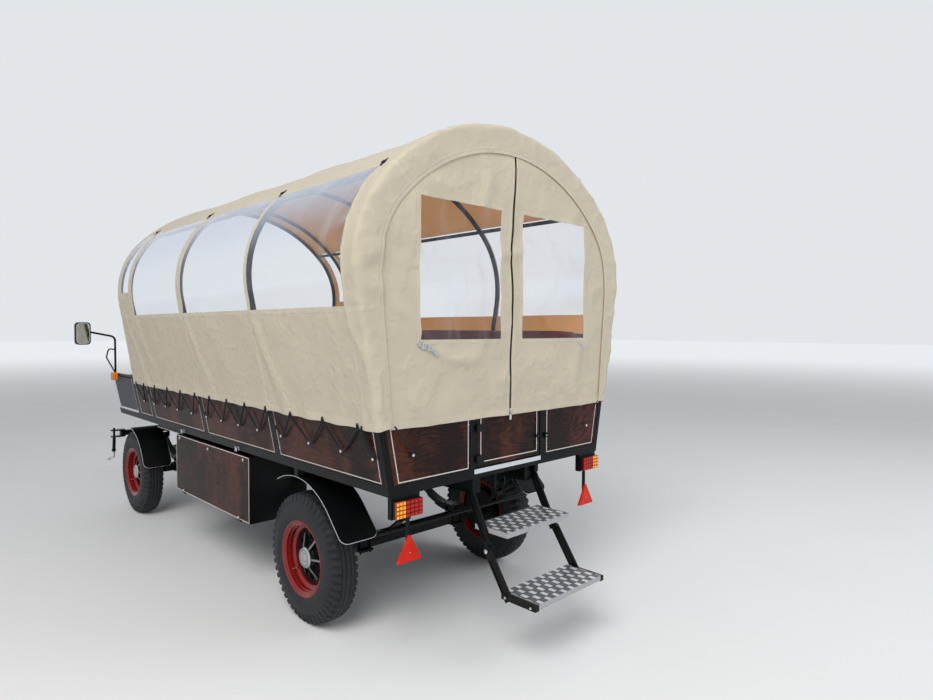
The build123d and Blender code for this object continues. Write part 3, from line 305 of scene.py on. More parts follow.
def tyre_section(outer_radius):
    """Points across the tyre from bead to bead: Y, radius, groove share, notch share."""
    shoulder = outer_radius - 0.030
    points = []
    for index in range(sidewall_steps + 1):
        share = index / sidewall_steps
        radius = bead_radius + (shoulder - bead_radius) * share
        bulge = sin(pi * share**0.85) ** 0.8
        edge = bead_half + (tread_half - bead_half) * share
        points.append((edge + (tyre_half - edge) * bulge, radius, 0, clamp((share - 0.80) / 0.08)))
    for inward, down, notch in ((0, 0.016, 1), (0.004, 0.009, 1), (0.016, 0.0062, 1), (0.022, 0.0052, 0)):
        points.append((tread_half - inward, outer_radius - down, 0, notch))
    for near, far in ((rib_edges[3], rib_edges[2]), (rib_edges[1], rib_edges[0])):
        for y, share in ((near, 0), (near - groove_slope, 1), (far + groove_slope, 1), (far, 0)):
            points.append((y, outer_radius - 0.9 * y * y / outer_radius, share, 0))
    mirrored_points = [(-y, radius, groove, notch) for y, radius, groove, notch in reversed(points)]
    return points + [(0, outer_radius, 0, 0)] + mirrored_points


rubber = Finish("tyre_rubber", Specular_IOR_Level=0.4)
tyre_dust = rubber.place.clouds(9.0, 5.0, 0.6).step(0.42, 0.75)
rubber.colour(tyre_dust.blend((0.010, 0.0115, 0.015), (0.026, 0.027, 0.031)))
rubber.vary("Roughness", rubber.place.clouds(55.0) * 0.2 + 0.5 + tyre_dust * 0.15)
rubber.bump(rubber.place.clouds(420.0, 2.0), 0.0003)
for wheel in wheels:
    low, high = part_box("tyre_" + wheel)
    centre = (low + high) / 2
    section = tyre_section((high.z - low.z) / 2)
    size = len(section)
    turns = shoulder_lugs * turns_per_lug
    corners = []
    faces = []
    for turn in range(turns):
        angle = 2 * pi * turn / turns
        notched = notch_depth if turn / turns_per_lug % 1 < notch_share else 0
        sway = zigzag * (2 * abs(2 * (turn / turns * zigzags % 1) - 1) - 1)
        for y, radius, groove, notch in section:
            reach = radius - groove_depth * groove - notch * notched
            shift = sway if abs(y) < rib_edges[3] + 0.001 and y else 0
            drawn = copysign(notch_inward * notch * notched, y)
            corners.append(centre + Vector((reach * cos(angle), y + shift - drawn, reach * sin(angle))))
        here, there = turn * size, (turn + 1) % turns * size
        faces += [(here + i, here + i + 1, there + i + 1, there + i) for i in range(size - 1)]
    tyre = piece("tread_" + wheel, corners, faces, "wheel_" + wheel, rubber.material)
    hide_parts("tyre_" + wheel)

rim_paint = Finish("rim_red", Coat_Roughness=0.12, Specular_IOR_Level=0.35)
rim_dirt = rim_paint.place.clouds(14.0, 5.0, 0.65).step(0.5, 0.8)
rim_paint.colour(rim_dirt.blend((0.185, 0.0075, 0.005), (0.085, 0.012, 0.009)))
rim_paint.vary("Roughness", rim_dirt * 0.2 + 0.25)
rim_paint.vary("Coat Weight", 0.3 - rim_dirt * 0.25)
rim_paint.bump(rim_paint.place.clouds(150.0), 0.0003)
axle_front = station(4.007)
axle_rear = station(0.900)
axle_height = 0.385
track_half = 0.747
rib_slope = 0.427        # the hub's ribs lean inwards towards the rim
rib_ends = (0.063, 0.140)


def hub_metal_and_highlight(place):
    """The turned hub cap, its two grooves painted as darker rings of shade, and a painted highlight along
    the outer edges of the ribs, drawn as bare metal.
    """
    x, y, z = place.axes()
    across_x = abs(x - (axle_front + axle_rear) / 2) - (axle_front - axle_rear) / 2
    up = z - axle_height
    reach = (across_x * across_x + up * up).math("SQRT")
    out = abs(y) - track_half
    # painted shade: two dark rings on the cap where its grooves would be
    groove_shaded = 1 - reach.band(0.046, 0.003, 0.0006) * 0.7 - reach.band(0.026, 0.002, 0.0006) * 0.6
    cap = (1 - reach.step(0.0625, 0.0635)) * out.step(0.028, 0.030) * groove_shaded
    first, last = rib_ends
    along_rib = reach.step(first, first + 0.001) * (1 - reach.step(last, last + 0.003))
    # painted highlight: a bright metal line along each rib's outer edge
    rib_edge_highlight = (out + reach * rib_slope - 0.0719).step(0.0, 0.001) * along_rib
    return cap | rib_edge_highlight * 0.4


hub_paint = black_paint("hub_black", 0.4, hub_metal_and_highlight)
for wheel in wheels:
    wear("rim_" + wheel, rim_paint.material)
    wear("hub_" + wheel, hub_paint)

# Boards: birch plywood with a figured face, stained a deep red-brown and varnished, screwed
# between the posts; the floor is the same plywood, film-faced and darker.


def stained_ply(name, light, dark, iron=None):
    """Plywood: long flames of a peeled face, dark blotches and pores; iron marks its black hinges."""
    ply = Finish(name, Coat_Roughness=0.14, Specular_IOR_Level=0.14)
    grain = ply.place.stretch(1.0, 1.0, 3.4)
    field = grain.clouds(1.2, 2.0, 0.5) + grain.clouds(7.5, 3.0, 0.6) * 0.07
    flames = (field.repeat(0.05) * 2).step(0.1, 0.9)
    blotches = ply.place.stretch(2.4, 2.4, 1.0).clouds(1.7, 4.0, 0.6).step(0.36, 0.66)
    pores = ply.place.stretch(3.0, 3.0, 60.0).clouds(4.0, 3.0, 0.65)
    shade = flames * 0.19 + blotches * 0.42 + pores * 0.50
    tone = shade.step(0.34, 1.0).blend(dark, light)
    if iron:
        tone = iron(ply.place).blend(tone, (0.006, 0.0075, 0.0085))
    ply.colour(tone)
    ply.vary("Roughness", pores * 0.25 + 0.24)
    ply.vary("Coat Weight", 0.06 - flames * 0.03)
    ply.bump(pores * 0.7 + flames * 0.3, 0.0003)
    return ply.material


def door_hinges(place):
    """The straps and barrels that stand behind the door's face."""
    return 1 - place.axes()[0].step(station(0.0018), station(0.0024))


ply_tones = ((0.078, 0.021, 0.011), (0.0085, 0.0038, 0.0032))
wall_ply = stained_ply("stained_ply", *ply_tones)
wear("side_boards rear_boards box_lid_left box_lid_right", wall_ply)
wear("rear_door", stained_ply("door_ply", *ply_tones, door_hinges))
wear("benches drivers_bench", wall_ply)
wear("floor", stained_ply("floor_ply", (0.06, 0.03, 0.018), (0.012, 0.007, 0.005)))

# Edge strips: a thin aluminium strip lies on every board and lid, along the mudguards' edges and
# under the side rails; small pins hold the longer ones.
lean = 0.191             # outward lean of the walls, run over rise
lean_angle = atan(lean)
wall_foot = 0.927        # underside of the side rail
wall_foot_half = 0.862   # its outer face
board_sunk = 0.003       # the boards' faces behind the posts'
leaning_out = Vector((0, cos(lean_angle), -sin(lean_angle)))
backwards = Vector((-1, 0, 0))
leftwards = Vector((0, 1, 0))
upwards = Vector((0, 0, 1))


def wall_half(z):
    """Half the width over the leaning walls at a height."""
    return wall_foot_half + lean * (z - wall_foot)


def wall_point(x, z, stand):
    """A point so far outside the left wall's plane, at a station."""
    return Vector((station(x), wall_half(z), z)) + leaning_out * stand


def legs(points, loop):
    """Each point with the steps to and from it; at an open line's end they are the same."""
    steps = [after - before for before, after in zip(points, points[1:] + points[:1])]
    if not loop:
        steps[-1] = steps[-2]
    return zip(points, [steps[-1 if loop else 0]] + steps[:-1], steps)


def circle(centre, side, other, radius, sides):
    """Points round a centre, in the plane of two unit vectors."""
    turns = [2 * pi * turn / sides for turn in range(sides)]
    return [centre + (side * cos(a) + other * sin(a)) * radius for a in turns]


class Fittings:
    """Small bars, wires and turned parts, gathered into one piece."""

    def __init__(self):
        self.corners = []
        self.faces = []

    def rows(self, rows, loop=False):
        """Join rows of equally many points, each closed in itself, to one closed skin."""
        base = len(self.corners)
        size = len(rows[0])
        for row in rows:
            self.corners += row
        for index in range(len(rows) if loop else len(rows) - 1):
            here = base + index * size
            there = base + (index + 1) % len(rows) * size
            self.faces += [
                (here + i, here + (i + 1) % size, there + (i + 1) % size, there + i) for i in range(size)
            ]
        if not loop:
            self.faces.append(tuple(range(base + size - 1, base - 1, -1)))
            self.faces.append(tuple(range(len(self.corners) - size, len(self.corners))))

    def strip(self, points, wide, thick, out, loop=True):
        """A flat strip along points on a plane that faces out, its corners mitred."""
        rows = []
        for point, before, after in legs(points, loop):
            sides = [out.cross(run).normalized() for run in (before, after)]
            half = (sides[0] + sides[1]) / (1 + sides[0].dot(sides[1])) * (wide / 2)
            rows.append([point - half, point + half, point + half + out * thick, point - half + out * thick])
        self.rows(rows, loop)

    def bar(self, start, end, wide, thick, out):
        """A flat bar from start to end that stands out by its thickness."""
        line = (end - start).normalized()
        self.strip([start, end], wide, thick, (out - line * out.dot(line)).normalized(), False)

    def wire(self, points, radius, sides=8, loop=False):
        """A round wire through points."""
        rows = []
        side = None
        for point, before, after in legs(points, loop):
            line = (before + after).normalized()
            if side is None:
                side = line.orthogonal().normalized()
            side = (side - line * side.dot(line)).normalized()
            rows.append(circle(point, side, line.cross(side), radius, sides))
        self.rows(rows, loop)

    def turned(self, place, axis, outline, sides=12):
        """A turned part on an axis: its outline as (along, radius) pairs."""
        axis = axis.normalized()
        side = axis.orthogonal().normalized()
        other = axis.cross(side)
        self.rows([circle(place + axis * along, side, other, radius, sides) for along, radius in outline])

    def plate(self, place, across, up, width, height, corner, thick):
        """A plate with rounded corners that stands out along across x up."""
        out = across.cross(up)
        outline = []
        for index, (sx, sy) in enumerate(((1, 1), (-1, 1), (-1, -1), (1, -1))):
            for turn in range(5):
                a = pi / 2 * (index + turn / 4)
                sideways = across * (sx * (width / 2 - corner) + corner * cos(a))
                outline.append(sideways + up * (sy * (height / 2 - corner) + corner * sin(a)))
        self.rows([[place + point for point in outline], [place + point + out * thick for point in outline]])

    def screw(self, place, out, size):
        """A low round head."""
        self.turned(place, out, [(0, size), (size * 0.35, size), (size * 0.6, size * 0.55)], 10)

    def both(self):
        """Add the mirror image on the wagon's other side."""
        base = len(self.corners)
        self.corners += [Vector((p.x, -p.y, p.z)) for p in self.corners]
        self.faces += [tuple(base + i for i in reversed(face)) for face in self.faces]
        return self

    def made(self, name, body, material):
        """Turn what was gathered into one piece that rides on a body."""
        fitting = piece(name, self.corners, self.faces, body, material)
        shell = bmesh.new()
        shell.from_mesh(fitting.data)
        bmesh.ops.recalc_face_normals(shell, faces=shell.faces)
        shell.to_mesh(fitting.data)
        shell.free()
        fitting.data.set_sharp_from_angle(angle=radians(40))
        return fitting


def bright_metal(name, colour, rough):
    """Plain bright metal, a little uneven in its gloss."""
    metal = Finish(name, Metallic=1.0)
    smear = metal.place.clouds(30.0, 4.0, 0.6)
    metal.colour(smear.blend([0.85 * value for value in colour], colour))
    metal.vary("Roughness", smear * 0.15 + rough)
    return metal.material


strip_metal = bright_metal("edge_strip", (0.86, 0.80, 0.76), 0.30)
zinc = bright_metal("zinc", (0.80, 0.82, 0.84), 0.22)
# stations and half widths of the wall's posts
posts = [(0.020, 0.020), (1.083, 0.030), (2.150, 0.030), (3.248, 0.030), (3.620, 0.030)]
strip_inset = 0.009
strip_low = 0.991
strip_high = 1.283
strip_wide = 0.0055
strip_thick = 0.0035
rear_outer = 0.068       # of the rear boards' strip inside the wall's plane
rear_plane = station(board_sunk)
strips = Fittings()
for (near, near_half), (far, far_half) in zip(posts, posts[1:]):
    start, end = near + near_half + strip_inset, far - far_half - strip_inset
    outline = [(start, strip_low), (end, strip_low), (end, strip_high), (start, strip_high)]
    outline = [wall_point(x, z, -board_sunk) for x, z in outline]
    strips.strip(outline, strip_wide, strip_thick, leaning_out)
    for share in (0.28, 0.72):
        strips.screw(wall_point(start + (end - start) * share, strip_low, 0), leaning_out, 0.0045)
    for x in (start, end):
        strips.screw(wall_point(x, 1.03, 0), leaning_out, 0.0045)


def rear_strip(gathered, outline, pins, loop):
    """A strip on the boards of the rear wall, with its pins."""
    line = [Vector((rear_plane, y, z)) for y, z in outline]
    gathered.strip(line, strip_wide, strip_thick, backwards, loop)
    for y, z in pins:
        gathered.screw(Vector((rear_plane - 0.003, y, z)), backwards, 0.005)


outer_low, outer_pin, outer_high = [wall_half(z) - rear_outer for z in (strip_low, 1.035, strip_high)]
outline = [(0.335, strip_low), (outer_low, strip_low), (outer_high, strip_high), (0.335, strip_high)]
rear_strip(strips, outline, ((0.335, 1.227), (0.335, 1.021), (outer_pin, 1.035)), True)
rail_strip = [Vector((station(x), 0.798, 0.8785)) for x in (2.815, 3.396)]
strips.bar(*rail_strip, 0.005, 0.003, leftwards)
strips.both().made("edge_strips", "wagon", strip_metal)

door_strips = Fittings()
outline = [(-0.239, 1.255), (-0.239, 1.012), (0.239, 1.012), (0.239, 1.255)]
rear_strip(door_strips, outline, ((0.239, 1.059), (-0.239, 1.056)), False)
door_strips.made("door_strips", "rear_door", strip_metal)

lid_face = 0.8503
lid_outline = [(1.524, 0.459), (2.806, 0.459), (2.806, 0.888), (1.524, 0.888)]
lid_knobs = [(2.721, 0.871), (2.169, 0.862), (1.593, 0.868), (2.647, 0.470), (1.669, 0.470)]
knob_turning = [(0, 0.006), (0.003, 0.006), (0.005, 0.010), (0.011, 0.010), (0.014, 0.006)]
for hand, side in (("left", 1), ("right", -1)):
    lid = "box_lid_" + hand
    facing = leftwards * side
    lid_strip = Fittings()
    lid_strip.strip([Vector((station(x), side * lid_face, z)) for x, z in lid_outline], 0.006, 0.003, facing)
    lid_strip.made("lid_strips_" + hand, lid, strip_metal)
    knobs = Fittings()
    for x, z in lid_knobs:
        knobs.turned(Vector((station(x), side * lid_face, z)), facing, knob_turning)
    knobs.made("lid_knobs_" + hand, lid, zinc)


def guard_edge(axle, radius, start, stop, tail):
    """Points round the edge of the left mudguard: over the wheel, down the tail and back."""
    inner, outer = 0.622, 0.8605
    corner = 0.045
    first, last = radians(start), radians(stop)
    arc_run = (last - first) * radius
    long_side = arc_run + tail - corner

    def at(run, y):
        """A point of the edge at a run along the guard."""
        angle = first + min(run, arc_run) / radius
        straight = max(0, run - arc_run)
        x = axle + radius * cos(angle) - straight * sin(angle)
        return Vector((x, y, axle_height + radius * sin(angle) + straight * cos(angle)))

    steps = 26
    quarter = [pi / 2 * turn / 6 for turn in range(7)]
    points = [at(long_side * i / steps, outer) for i in range(steps + 1)]
    points += [at(long_side + corner * sin(a), outer - corner + corner * cos(a)) for a in quarter[1:]]
    points += [at(long_side + corner * cos(a), inner + corner - corner * sin(a)) for a in quarter]
    return points + [at(long_side * (steps - i) / steps, inner) for i in range(1, steps + 1)]


guard_trim = bright_metal("guard_trim", (0.84, 0.85, 0.86), 0.25)
for name, body, shape in (
    ("rear_guard_trim", "wagon", (axle_rear, 0.4935, 62, 136, 0.190)),
    ("front_guard_trim", "front_bogie", (axle_front, 0.4265, 96, 152, 0.110)),
):
    edging = Fittings()
    edging.wire(guard_edge(*shape), 0.0022, 6, True)
    edging.both().made(name, body, guard_trim)

# Rear sill and fastenings: an aluminium strip on the frame under the door, a slide bolt from the
# door to its right post, and the toggles that hold the box lids.
catches = Fittings()
hair = 0.0003            # trim stands so far off the face it lies on
sill_face = station(0) - hair
sill_height = 0.9645
catches.bar(*[Vector((sill_face, y, sill_height)) for y in (0.290, -0.275)], 0.025, 0.003, backwards)
for y in (0.27, 0.0, -0.255):
    catches.screw(Vector((sill_face - 0.003, y, sill_height)), backwards, 0.004)
button = [(0, 0.007), (0.008, 0.007), (0.011, 0.004)]
catches.turned(Vector((station(0.0) - 0.004, -0.318, 1.096)), backwards, button)
catches.made("rear_catches", "wagon", bright_metal("sill_strip", (0.80, 0.84, 0.88), 0.28))

toggles = Fittings()
toggle_turning = [(0, 0.013), (0.005, 0.013), (0.007, 0.006), (0.020, 0.006), (0.020, 0.011), (0.026, 0.009)]
for x, z in ((2.606, 0.921), (1.641, 0.919)):
    root = Vector((station(x), 0.8621, z + 0.020))
    toggles.turned(root, leftwards, toggle_turning)
    crossing = root + leftwards * 0.020
    for turn in range(4):
        angle = pi / 4 + turn * pi / 2
        arm = Vector((cos(angle), 0, sin(angle)))
        toggles.bar(crossing, crossing + arm * 0.021, 0.009, 0.005, leftwards)
toggles.both().made("lid_toggles", "wagon", zinc)

slide = Fittings()
bolt_height = 1.098
slide.bar(*[Vector((station(0.003), y, bolt_height)) for y in (-0.246, -0.262)], 0.030, 0.004, backwards)
slide.wire([Vector((station(-0.006), y, bolt_height)) for y in (-0.225, -0.262)], 0.006)
handle = ((-0.006, bolt_height), (-0.006, 1.112), (-0.016, 1.118))
slide.wire([Vector((station(x), -0.240, z)) for x, z in handle], 0.004)
slide.made("door_bolt", "rear_door", steel)
keeper = Fittings()
keeper.bar(*[Vector((sill_face, -0.318, z)) for z in (1.084, 1.112)], 0.020, 0.014, backwards)
keeper.made("bolt_keeper", "wagon", steel)

# Tilt: cream coated canvas in one piece over five hoops, its edges welded over, the rear one
# stitched too, and its hem pulled down by elastic. It turns in round the rear face as a puffed band.
leg_top = 1.930
shoulder_radius = 0.620
cloth_stand = 0.006
cloth_low, cloth_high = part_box("canopy_cloth")
hem = cloth_low.z
tilt_rear = cloth_low.x
tilt_front = cloth_high.x
front_lean = 0.075       # the front edge stands this much further back at the shoulder
apex = cloth_high.z - cloth_stand
band_width = 0.155
band_foot = 0.075        # the rear band is narrower at the hem
band_narrows = 2.05      # height below which it does
edge_radius = 0.024
flat_band = band_width - edge_radius
band_corner = edge_radius * pi / 2
strip_half = 0.850
sill = 1.845
front_sill = 2.030
fabric_thick = 0.0018
eyelet_pitch = 0.271
fold_depth = 0.015       # of the folds that run down from the windows' corners
ripple = 0.009           # of the skirt's soft waves
hem_scallop = 0.004      # how far the hem stands out at the eyelets and rises between them
hem_reach = 0.12         # height over which it rises
hoop_places = [station(x) for x in (0.020, 1.083, 2.150, 3.248, 3.500)]
bays = [(0.096, 1.072, sill), (1.108, 2.098, sill), (2.182, 3.159, sill), (3.240, 3.420, front_sill)]
bays = [(station(rear), station(front), low) for rear, front, low in bays]
shoulder_y = wall_half(leg_top) - shoulder_radius * cos(lean_angle)
shoulder_z = leg_top + shoulder_radius * sin(lean_angle)
rise = apex - shoulder_z
roof_radius = (shoulder_radius**2 - shoulder_y**2 - rise**2) / (2 * (shoulder_radius - rise))
roof_z = apex - roof_radius
joint_angle = atan2(shoulder_z - roof_z, shoulder_y)
roof_run = roof_radius * (pi / 2 - joint_angle)
shoulder_run = shoulder_radius * (joint_angle + lean_angle)


def arch(run, offset):
    """Point (Y, Z) of the arch at a run from the crown, left positive, and the outward direction."""
    side = copysign(1, run)
    run = abs(run)
    y, z, reach = shoulder_y, shoulder_z, shoulder_radius
    if run < roof_run:
        angle = pi / 2 - run / roof_radius
        y, z, reach = 0, roof_z, roof_radius
    elif run < roof_run + shoulder_run:
        angle = joint_angle - (run - roof_run) / shoulder_radius
    else:
        angle = -lean_angle
        down = run - roof_run - shoulder_run
        y, z = y - down * sin(lean_angle), z - down * cos(lean_angle)
    reach += offset
    return side * (y + reach * cos(angle)), z + reach * sin(angle), side * cos(angle), sin(angle)


def run_at(height):
    """Run from the crown down to a height on the leg or the shoulder."""
    if height < leg_top:
        return roof_run + shoulder_run + (leg_top - height) / cos(lean_angle)
    return roof_run + (joint_angle - asin((height - shoulder_z) / shoulder_radius)) * shoulder_radius


hem_run, sill_run, front_sill_run = [run_at(height) for height in (hem, sill, front_sill)]
strip_run = roof_radius * asin(strip_half / roof_radius)
if strip_run > roof_run:
    strip_angle = acos((strip_half - shoulder_y) / shoulder_radius)
    strip_run = roof_run + (joint_angle - strip_angle) * shoulder_radius


def spread(marks, step):
    """The marks in order, with even steps no longer than step between them."""
    marks = sorted(marks)
    places = [marks[0]]
    for near, far in zip(marks, marks[1:]):
        count = max(1, ceil((far - near) / step))
        places += [near + (far - near) * (index + 1) / count for index in range(count)]
    return places


def soft(x, y, seed):
    """Smooth unevenness from -1 to 1, the same each time."""
    return noise.noise(Vector((x, y, seed)))


def crease(x, y, seed):
    """Sharp creases of pulled cloth, from 0 to 1."""
    return (1 - min(1, abs(3 * soft(x, y, seed)))) ** 2


def bump_at(x, centre, width):
    """A soft ridge of height 1."""
    return exp(-(((x - centre) / width) ** 2))


def tilt_offset(x, run):
    """How far the cloth's outer face stands off the hoops' arch."""
    stand = cloth_stand - 0.0005
    side = abs(run)
    hand = copysign(1, run)
    between = 1.0
    for place in hoop_places:
        between *= 1 - bump_at(x, place, 0.16)
    if side < strip_run:
        rests = 1 - bump_at(side, 0, 0.1) - bump_at(side, strip_run, 0.1)
        stand -= between * (0.0035 + 0.005 * rests)
    fold = 0.0
    drop = (side - sill_run) / (hem_run - sill_run)
    down = max(drop, 0)
    if drop > -0.1:
        grown = clamp((drop + 0.1) * 4)
        for rear, front, _ in bays:
            for edge, strong in ((rear, 0.6), (front, 1.0)):
                line = edge - 0.26 * down**1.2 + 0.03 * soft(edge, drop * 2, 3)
                fold += strong * bump_at(x, line, 0.020 + 0.022 * down)
        fold *= grown * fold_depth * (1 - 0.5 * down)
        fold += grown * ripple * (1 - 0.75 * down) * soft(x * 3.5 + drop, side * 1.1, 1 + 7 * hand)
        fold += max(drop - 0.82, 0) / 0.18 * hem_scallop * (1 + cos(x * 2 * pi / eyelet_pitch))
    nearness = bump_at(x, tilt_rear, 0.20)
    wrinkle = soft(x * 4 + side * 3, side * 9 - x * 5, 11 + 5 * hand) * 0.004 * nearness
    wrinkle += crease(x * 5 + side * 2.5, side * 6 - x * 5, 61 + 5 * hand) * 0.006 * nearness
    if drop > 0:
        fold += grown * 0.004 * crease(x * 2.2 + side, side * 1.6 - x, 67)
    return stand + fold + wrinkle + 0.003 * soft(x * 2.6, run * 2.6, 23)


def tilt_point(along, run):
    """The cloth's corner at a run along it from the rear band's inner edge, and its flat place."""
    puff = 0.004 * soft(run * 5, along * 9, 31) + 0.003 * soft(run * 15, along * 12, 37)
    puff += 0.007 * crease(run * 6, along * 7, 71) - 0.002
    if along < flat_band:
        down = clamp((abs(run) - run_at(band_narrows)) / (hem_run - run_at(band_narrows)))
        width = band_width + (band_foot - band_width) * down
        in_face = (width - edge_radius) * (1 - along / flat_band)
        y, z, _, _ = arch(run, cloth_stand - edge_radius - in_face)
        swell = 0.003 + sin(pi * along / flat_band / 2) * 0.006
        if run > 0:
            swell += (bump_at(z, 2.10, 0.05) + bump_at(z, 1.93, 0.045)) * 0.010
        x = tilt_rear - swell - puff * along / flat_band
    elif along < flat_band + band_corner:
        turn = (along - flat_band) / edge_radius
        x = tilt_rear + edge_radius * (1 - cos(turn)) - (0.008 + puff) * cos(turn)
        offset = tilt_offset(tilt_rear + edge_radius, run) - edge_radius * (1 - sin(turn))
        y, z, _, _ = arch(run, offset + 0.002 * sin(turn))
    else:
        x = tilt_rear + edge_radius + along - flat_band - band_corner
        y, z, _, _ = arch(run, tilt_offset(x, run))
        last = bays[-1][1]
        if x > last:
            x = last + (x - last) * (1 - front_lean * clamp((z - hem) / 0.75) / (tilt_front - last))
    low = max(0, (abs(run) - hem_run + hem_reach) / hem_reach)
    lift = low * hem_scallop * (1 - cos(along * 2 * pi / eyelet_pitch)) / 2
    return (x, y, z + lift), (along, run)


def along_at(x):
    """Run along the cloth's length of a place on the frame."""
    return flat_band + band_corner + x - tilt_rear - edge_radius


def sheet_of_cloth(name, firsts, seconds, kept, spot, cell, material, thick, lit_underside=None):
    """A grid of cloth over chosen cells: spot gives a corner and its flat place, cell the winding.

    It gets its thickness on the inner side, which may show a finish of its own, such as a painted glow of
    light through the cloth.
    """
    index = {}
    corners = []
    places = []
    faces = []
    for i in range(len(firsts) - 1):
        for j in range(len(seconds) - 1):
            if not kept((firsts[i] + firsts[i + 1]) / 2, (seconds[j] + seconds[j + 1]) / 2):
                continue
            for a, b in cell:
                key = (i + a, j + b)
                if key not in index:
                    index[key] = len(corners)
                    corner, place = spot(firsts[key[0]], seconds[key[1]])
                    corners.append(corner)
                    places.append(place)
            faces.append([index[(i + a, j + b)] for a, b in cell])
    made = piece(name, corners, faces, "wagon", material)
    layer = made.data.uv_layers.new(name="flat")
    for loop in made.data.loops:
        layer.data[loop.index].uv = places[loop.vertex_index]
    solid = made.modifiers.new("thickness", "SOLIDIFY")
    solid.thickness = thick
    solid.offset = -1
    if lit_underside:
        made.data.materials.append(lit_underside)
        solid.material_offset = 1
    bpy.context.view_layer.objects.active = made
    made.select_set(True)
    bpy.ops.object.modifier_apply(modifier=solid.name)
    made.select_set(False)
    made.data.set_sharp_from_angle(angle=radians(55))
    return made


def in_window(along, run):
    """Whether a place on the tilt lies in one of its clear windows."""
    for rear, front, low in bays:
        if along_at(rear) < along < along_at(front) and strip_run < abs(run) < run_at(low):
            return True
    return False


thread_pitch = 0.0012
weld_edge = 0.0012


def woven(canvas, mottle_size, crease_size):
    """The canvas's flat axes, its weave, mottle and creases."""
    first, second, _ = canvas.flat.axes()
    weave = first.repeat(thread_pitch) + second.repeat(thread_pitch)
    mottle = canvas.place.clouds(mottle_size, 5.0, 0.55)
    canvas.vary("Roughness", mottle * 0.18 + 0.42)
    creased = 1 - abs(canvas.place.clouds(crease_size, 3.0, 0.6) - 0.5).step(0.0, 0.10)
    return first, second, weave, mottle, creased


canvas = Finish("cream_canvas", Specular_IOR_Level=0.35)
along_flat, run_flat, weave, mottle, creased = woven(canvas, 2.2, 4.5)
side_flat = abs(run_flat)
welds = along_flat.band(0.016, 0.015, weld_edge)
for middle, half in ((strip_run - 0.014, 0.013), (sill_run + 0.014, 0.013), (hem_run - 0.022, 0.021)):
    welds = welds | side_flat.band(middle, half, weld_edge)
for rear, front, _ in bays:
    for middle in (along_at(rear) - 0.012, along_at(front) + 0.012):
        welds = welds | along_flat.band(middle, 0.011, weld_edge)
stitches = along_flat.band(0.020, 0.0012, 0.0008) * run_flat.repeat(0.008).step(0.12, 0.2)
soil = canvas.place.clouds(7.0, 6.0, 0.62).step(0.52, 0.85)
tone = mottle.blend((0.455, 0.405, 0.312), (0.515, 0.464, 0.362))
worn = (soil * 0.4).blend(tone, (0.37, 0.325, 0.245))
welded = (welds * 0.4).blend(worn, (0.55, 0.500, 0.400))
canvas.colour((stitches * 0.6).blend(welded, (0.30, 0.26, 0.19)))
height = weave * 0.10 + welds * 0.6 - stitches * 0.4 + canvas.place.clouds(45.0, 5.0) * 0.30 + creased
canvas.bump(height, 0.0022)
# the canvas's inner face: warm orange with a glow, painted light of daylight coming through the cloth
lit_underside = Finish("canvas_underside_glow", Roughness=0.6, Specular_IOR_Level=0.2, Emission_Strength=0.35)
underside_glow_mottle = lit_underside.place.clouds(3.0, 4.0, 0.55)
lit_underside.colour(underside_glow_mottle.blend((0.56, 0.27, 0.075), (0.64, 0.35, 0.125)), glows=True)

window_ends = [along_at(x) for rear, front, _ in bays for x in (rear, front)]
creased_end = along_at(tilt_rear + 0.3)
alongs = spread([0, flat_band, along_at(tilt_rear + edge_radius), window_ends[0], creased_end], 0.012)
alongs += spread([creased_end] + window_ends[1:] + [along_at(tilt_front)], 0.026)[1:]
run_marks = (0.0001, strip_run, front_sill_run, sill_run, hem_run)
runs = spread([side * run for side in (-1, 1) for run in run_marks], 0.020)
tilt_cell = ((0, 0), (1, 0), (1, 1), (0, 1))
tilt = sheet_of_cloth(
    "tilt", alongs, runs, lambda along, run: not in_window(along, run), tilt_point, tilt_cell,
    canvas.material, fabric_thick, lit_underside.material,
)
cut_length = along_at(tilt_front)
window_area = 2 * sum((front - rear) * (run_at(low) - strip_run) for rear, front, low in bays)
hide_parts("canopy_cloth")
2 * hem_run
2 * hem_run * cut_length - window_area

# Side windows: clear flexible PVC welded to the canvas, wavy where it hangs between hoops,
# so that it mirrors the sky in streaks, the more the higher it faces.
clear = Finish("clear_sheet", Metallic=1.0, Specular_IOR_Level=0.5)
glance = clear.place.node("LayerWeight", {}, {"Blend": 0.5}, out=1)
streaks = clear.place.stretch(5.0, 5.0, 0.7).clouds(1.2, 4.0, 0.6).step(0.50, 0.80)
skyward = clear.up.axes()[2].step(0.10, 0.80)
clear.vary("Alpha", glance.math("POWER", 4.0) * 0.5 + 0.030 + streaks * 0.08 + skyward * 0.38)
clear.colour(streaks.blend((0.70, 0.76, 0.90), (0.86, 0.90, 0.98)))
clear.vary("Roughness", streaks * 0.2 + 0.05)
clear.bump(clear.place.stretch(1.0, 1.0, 2.2).clouds(2.6, 2.0, 0.4), 0.004)
sheet_thick = 0.0008
side_sheets = sheet_of_cloth(
    "side_sheets", alongs, runs, in_window, tilt_point, tilt_cell, clear.material, sheet_thick
)
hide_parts("side_windows")
2 * (sill_run - strip_run)
bays[-1][1] - bays[0][0]

# Rear curtain: two cream halves, each with a clear window, joined by a black zip that bows
# a little, and tucked behind the tilt's rear band.
curtain_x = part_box("rear_curtain")[0].x
tuck = 0.055             # the curtain's edge inside the arch
curtain_step = 0.018
zip_y = -0.020
zip_half = 0.006
rear_bays = [(0.090, 0.683), (-0.692, -0.100)]
rear_low = 1.685
rear_high = 2.397
zip_top = apex - band_width + 0.006


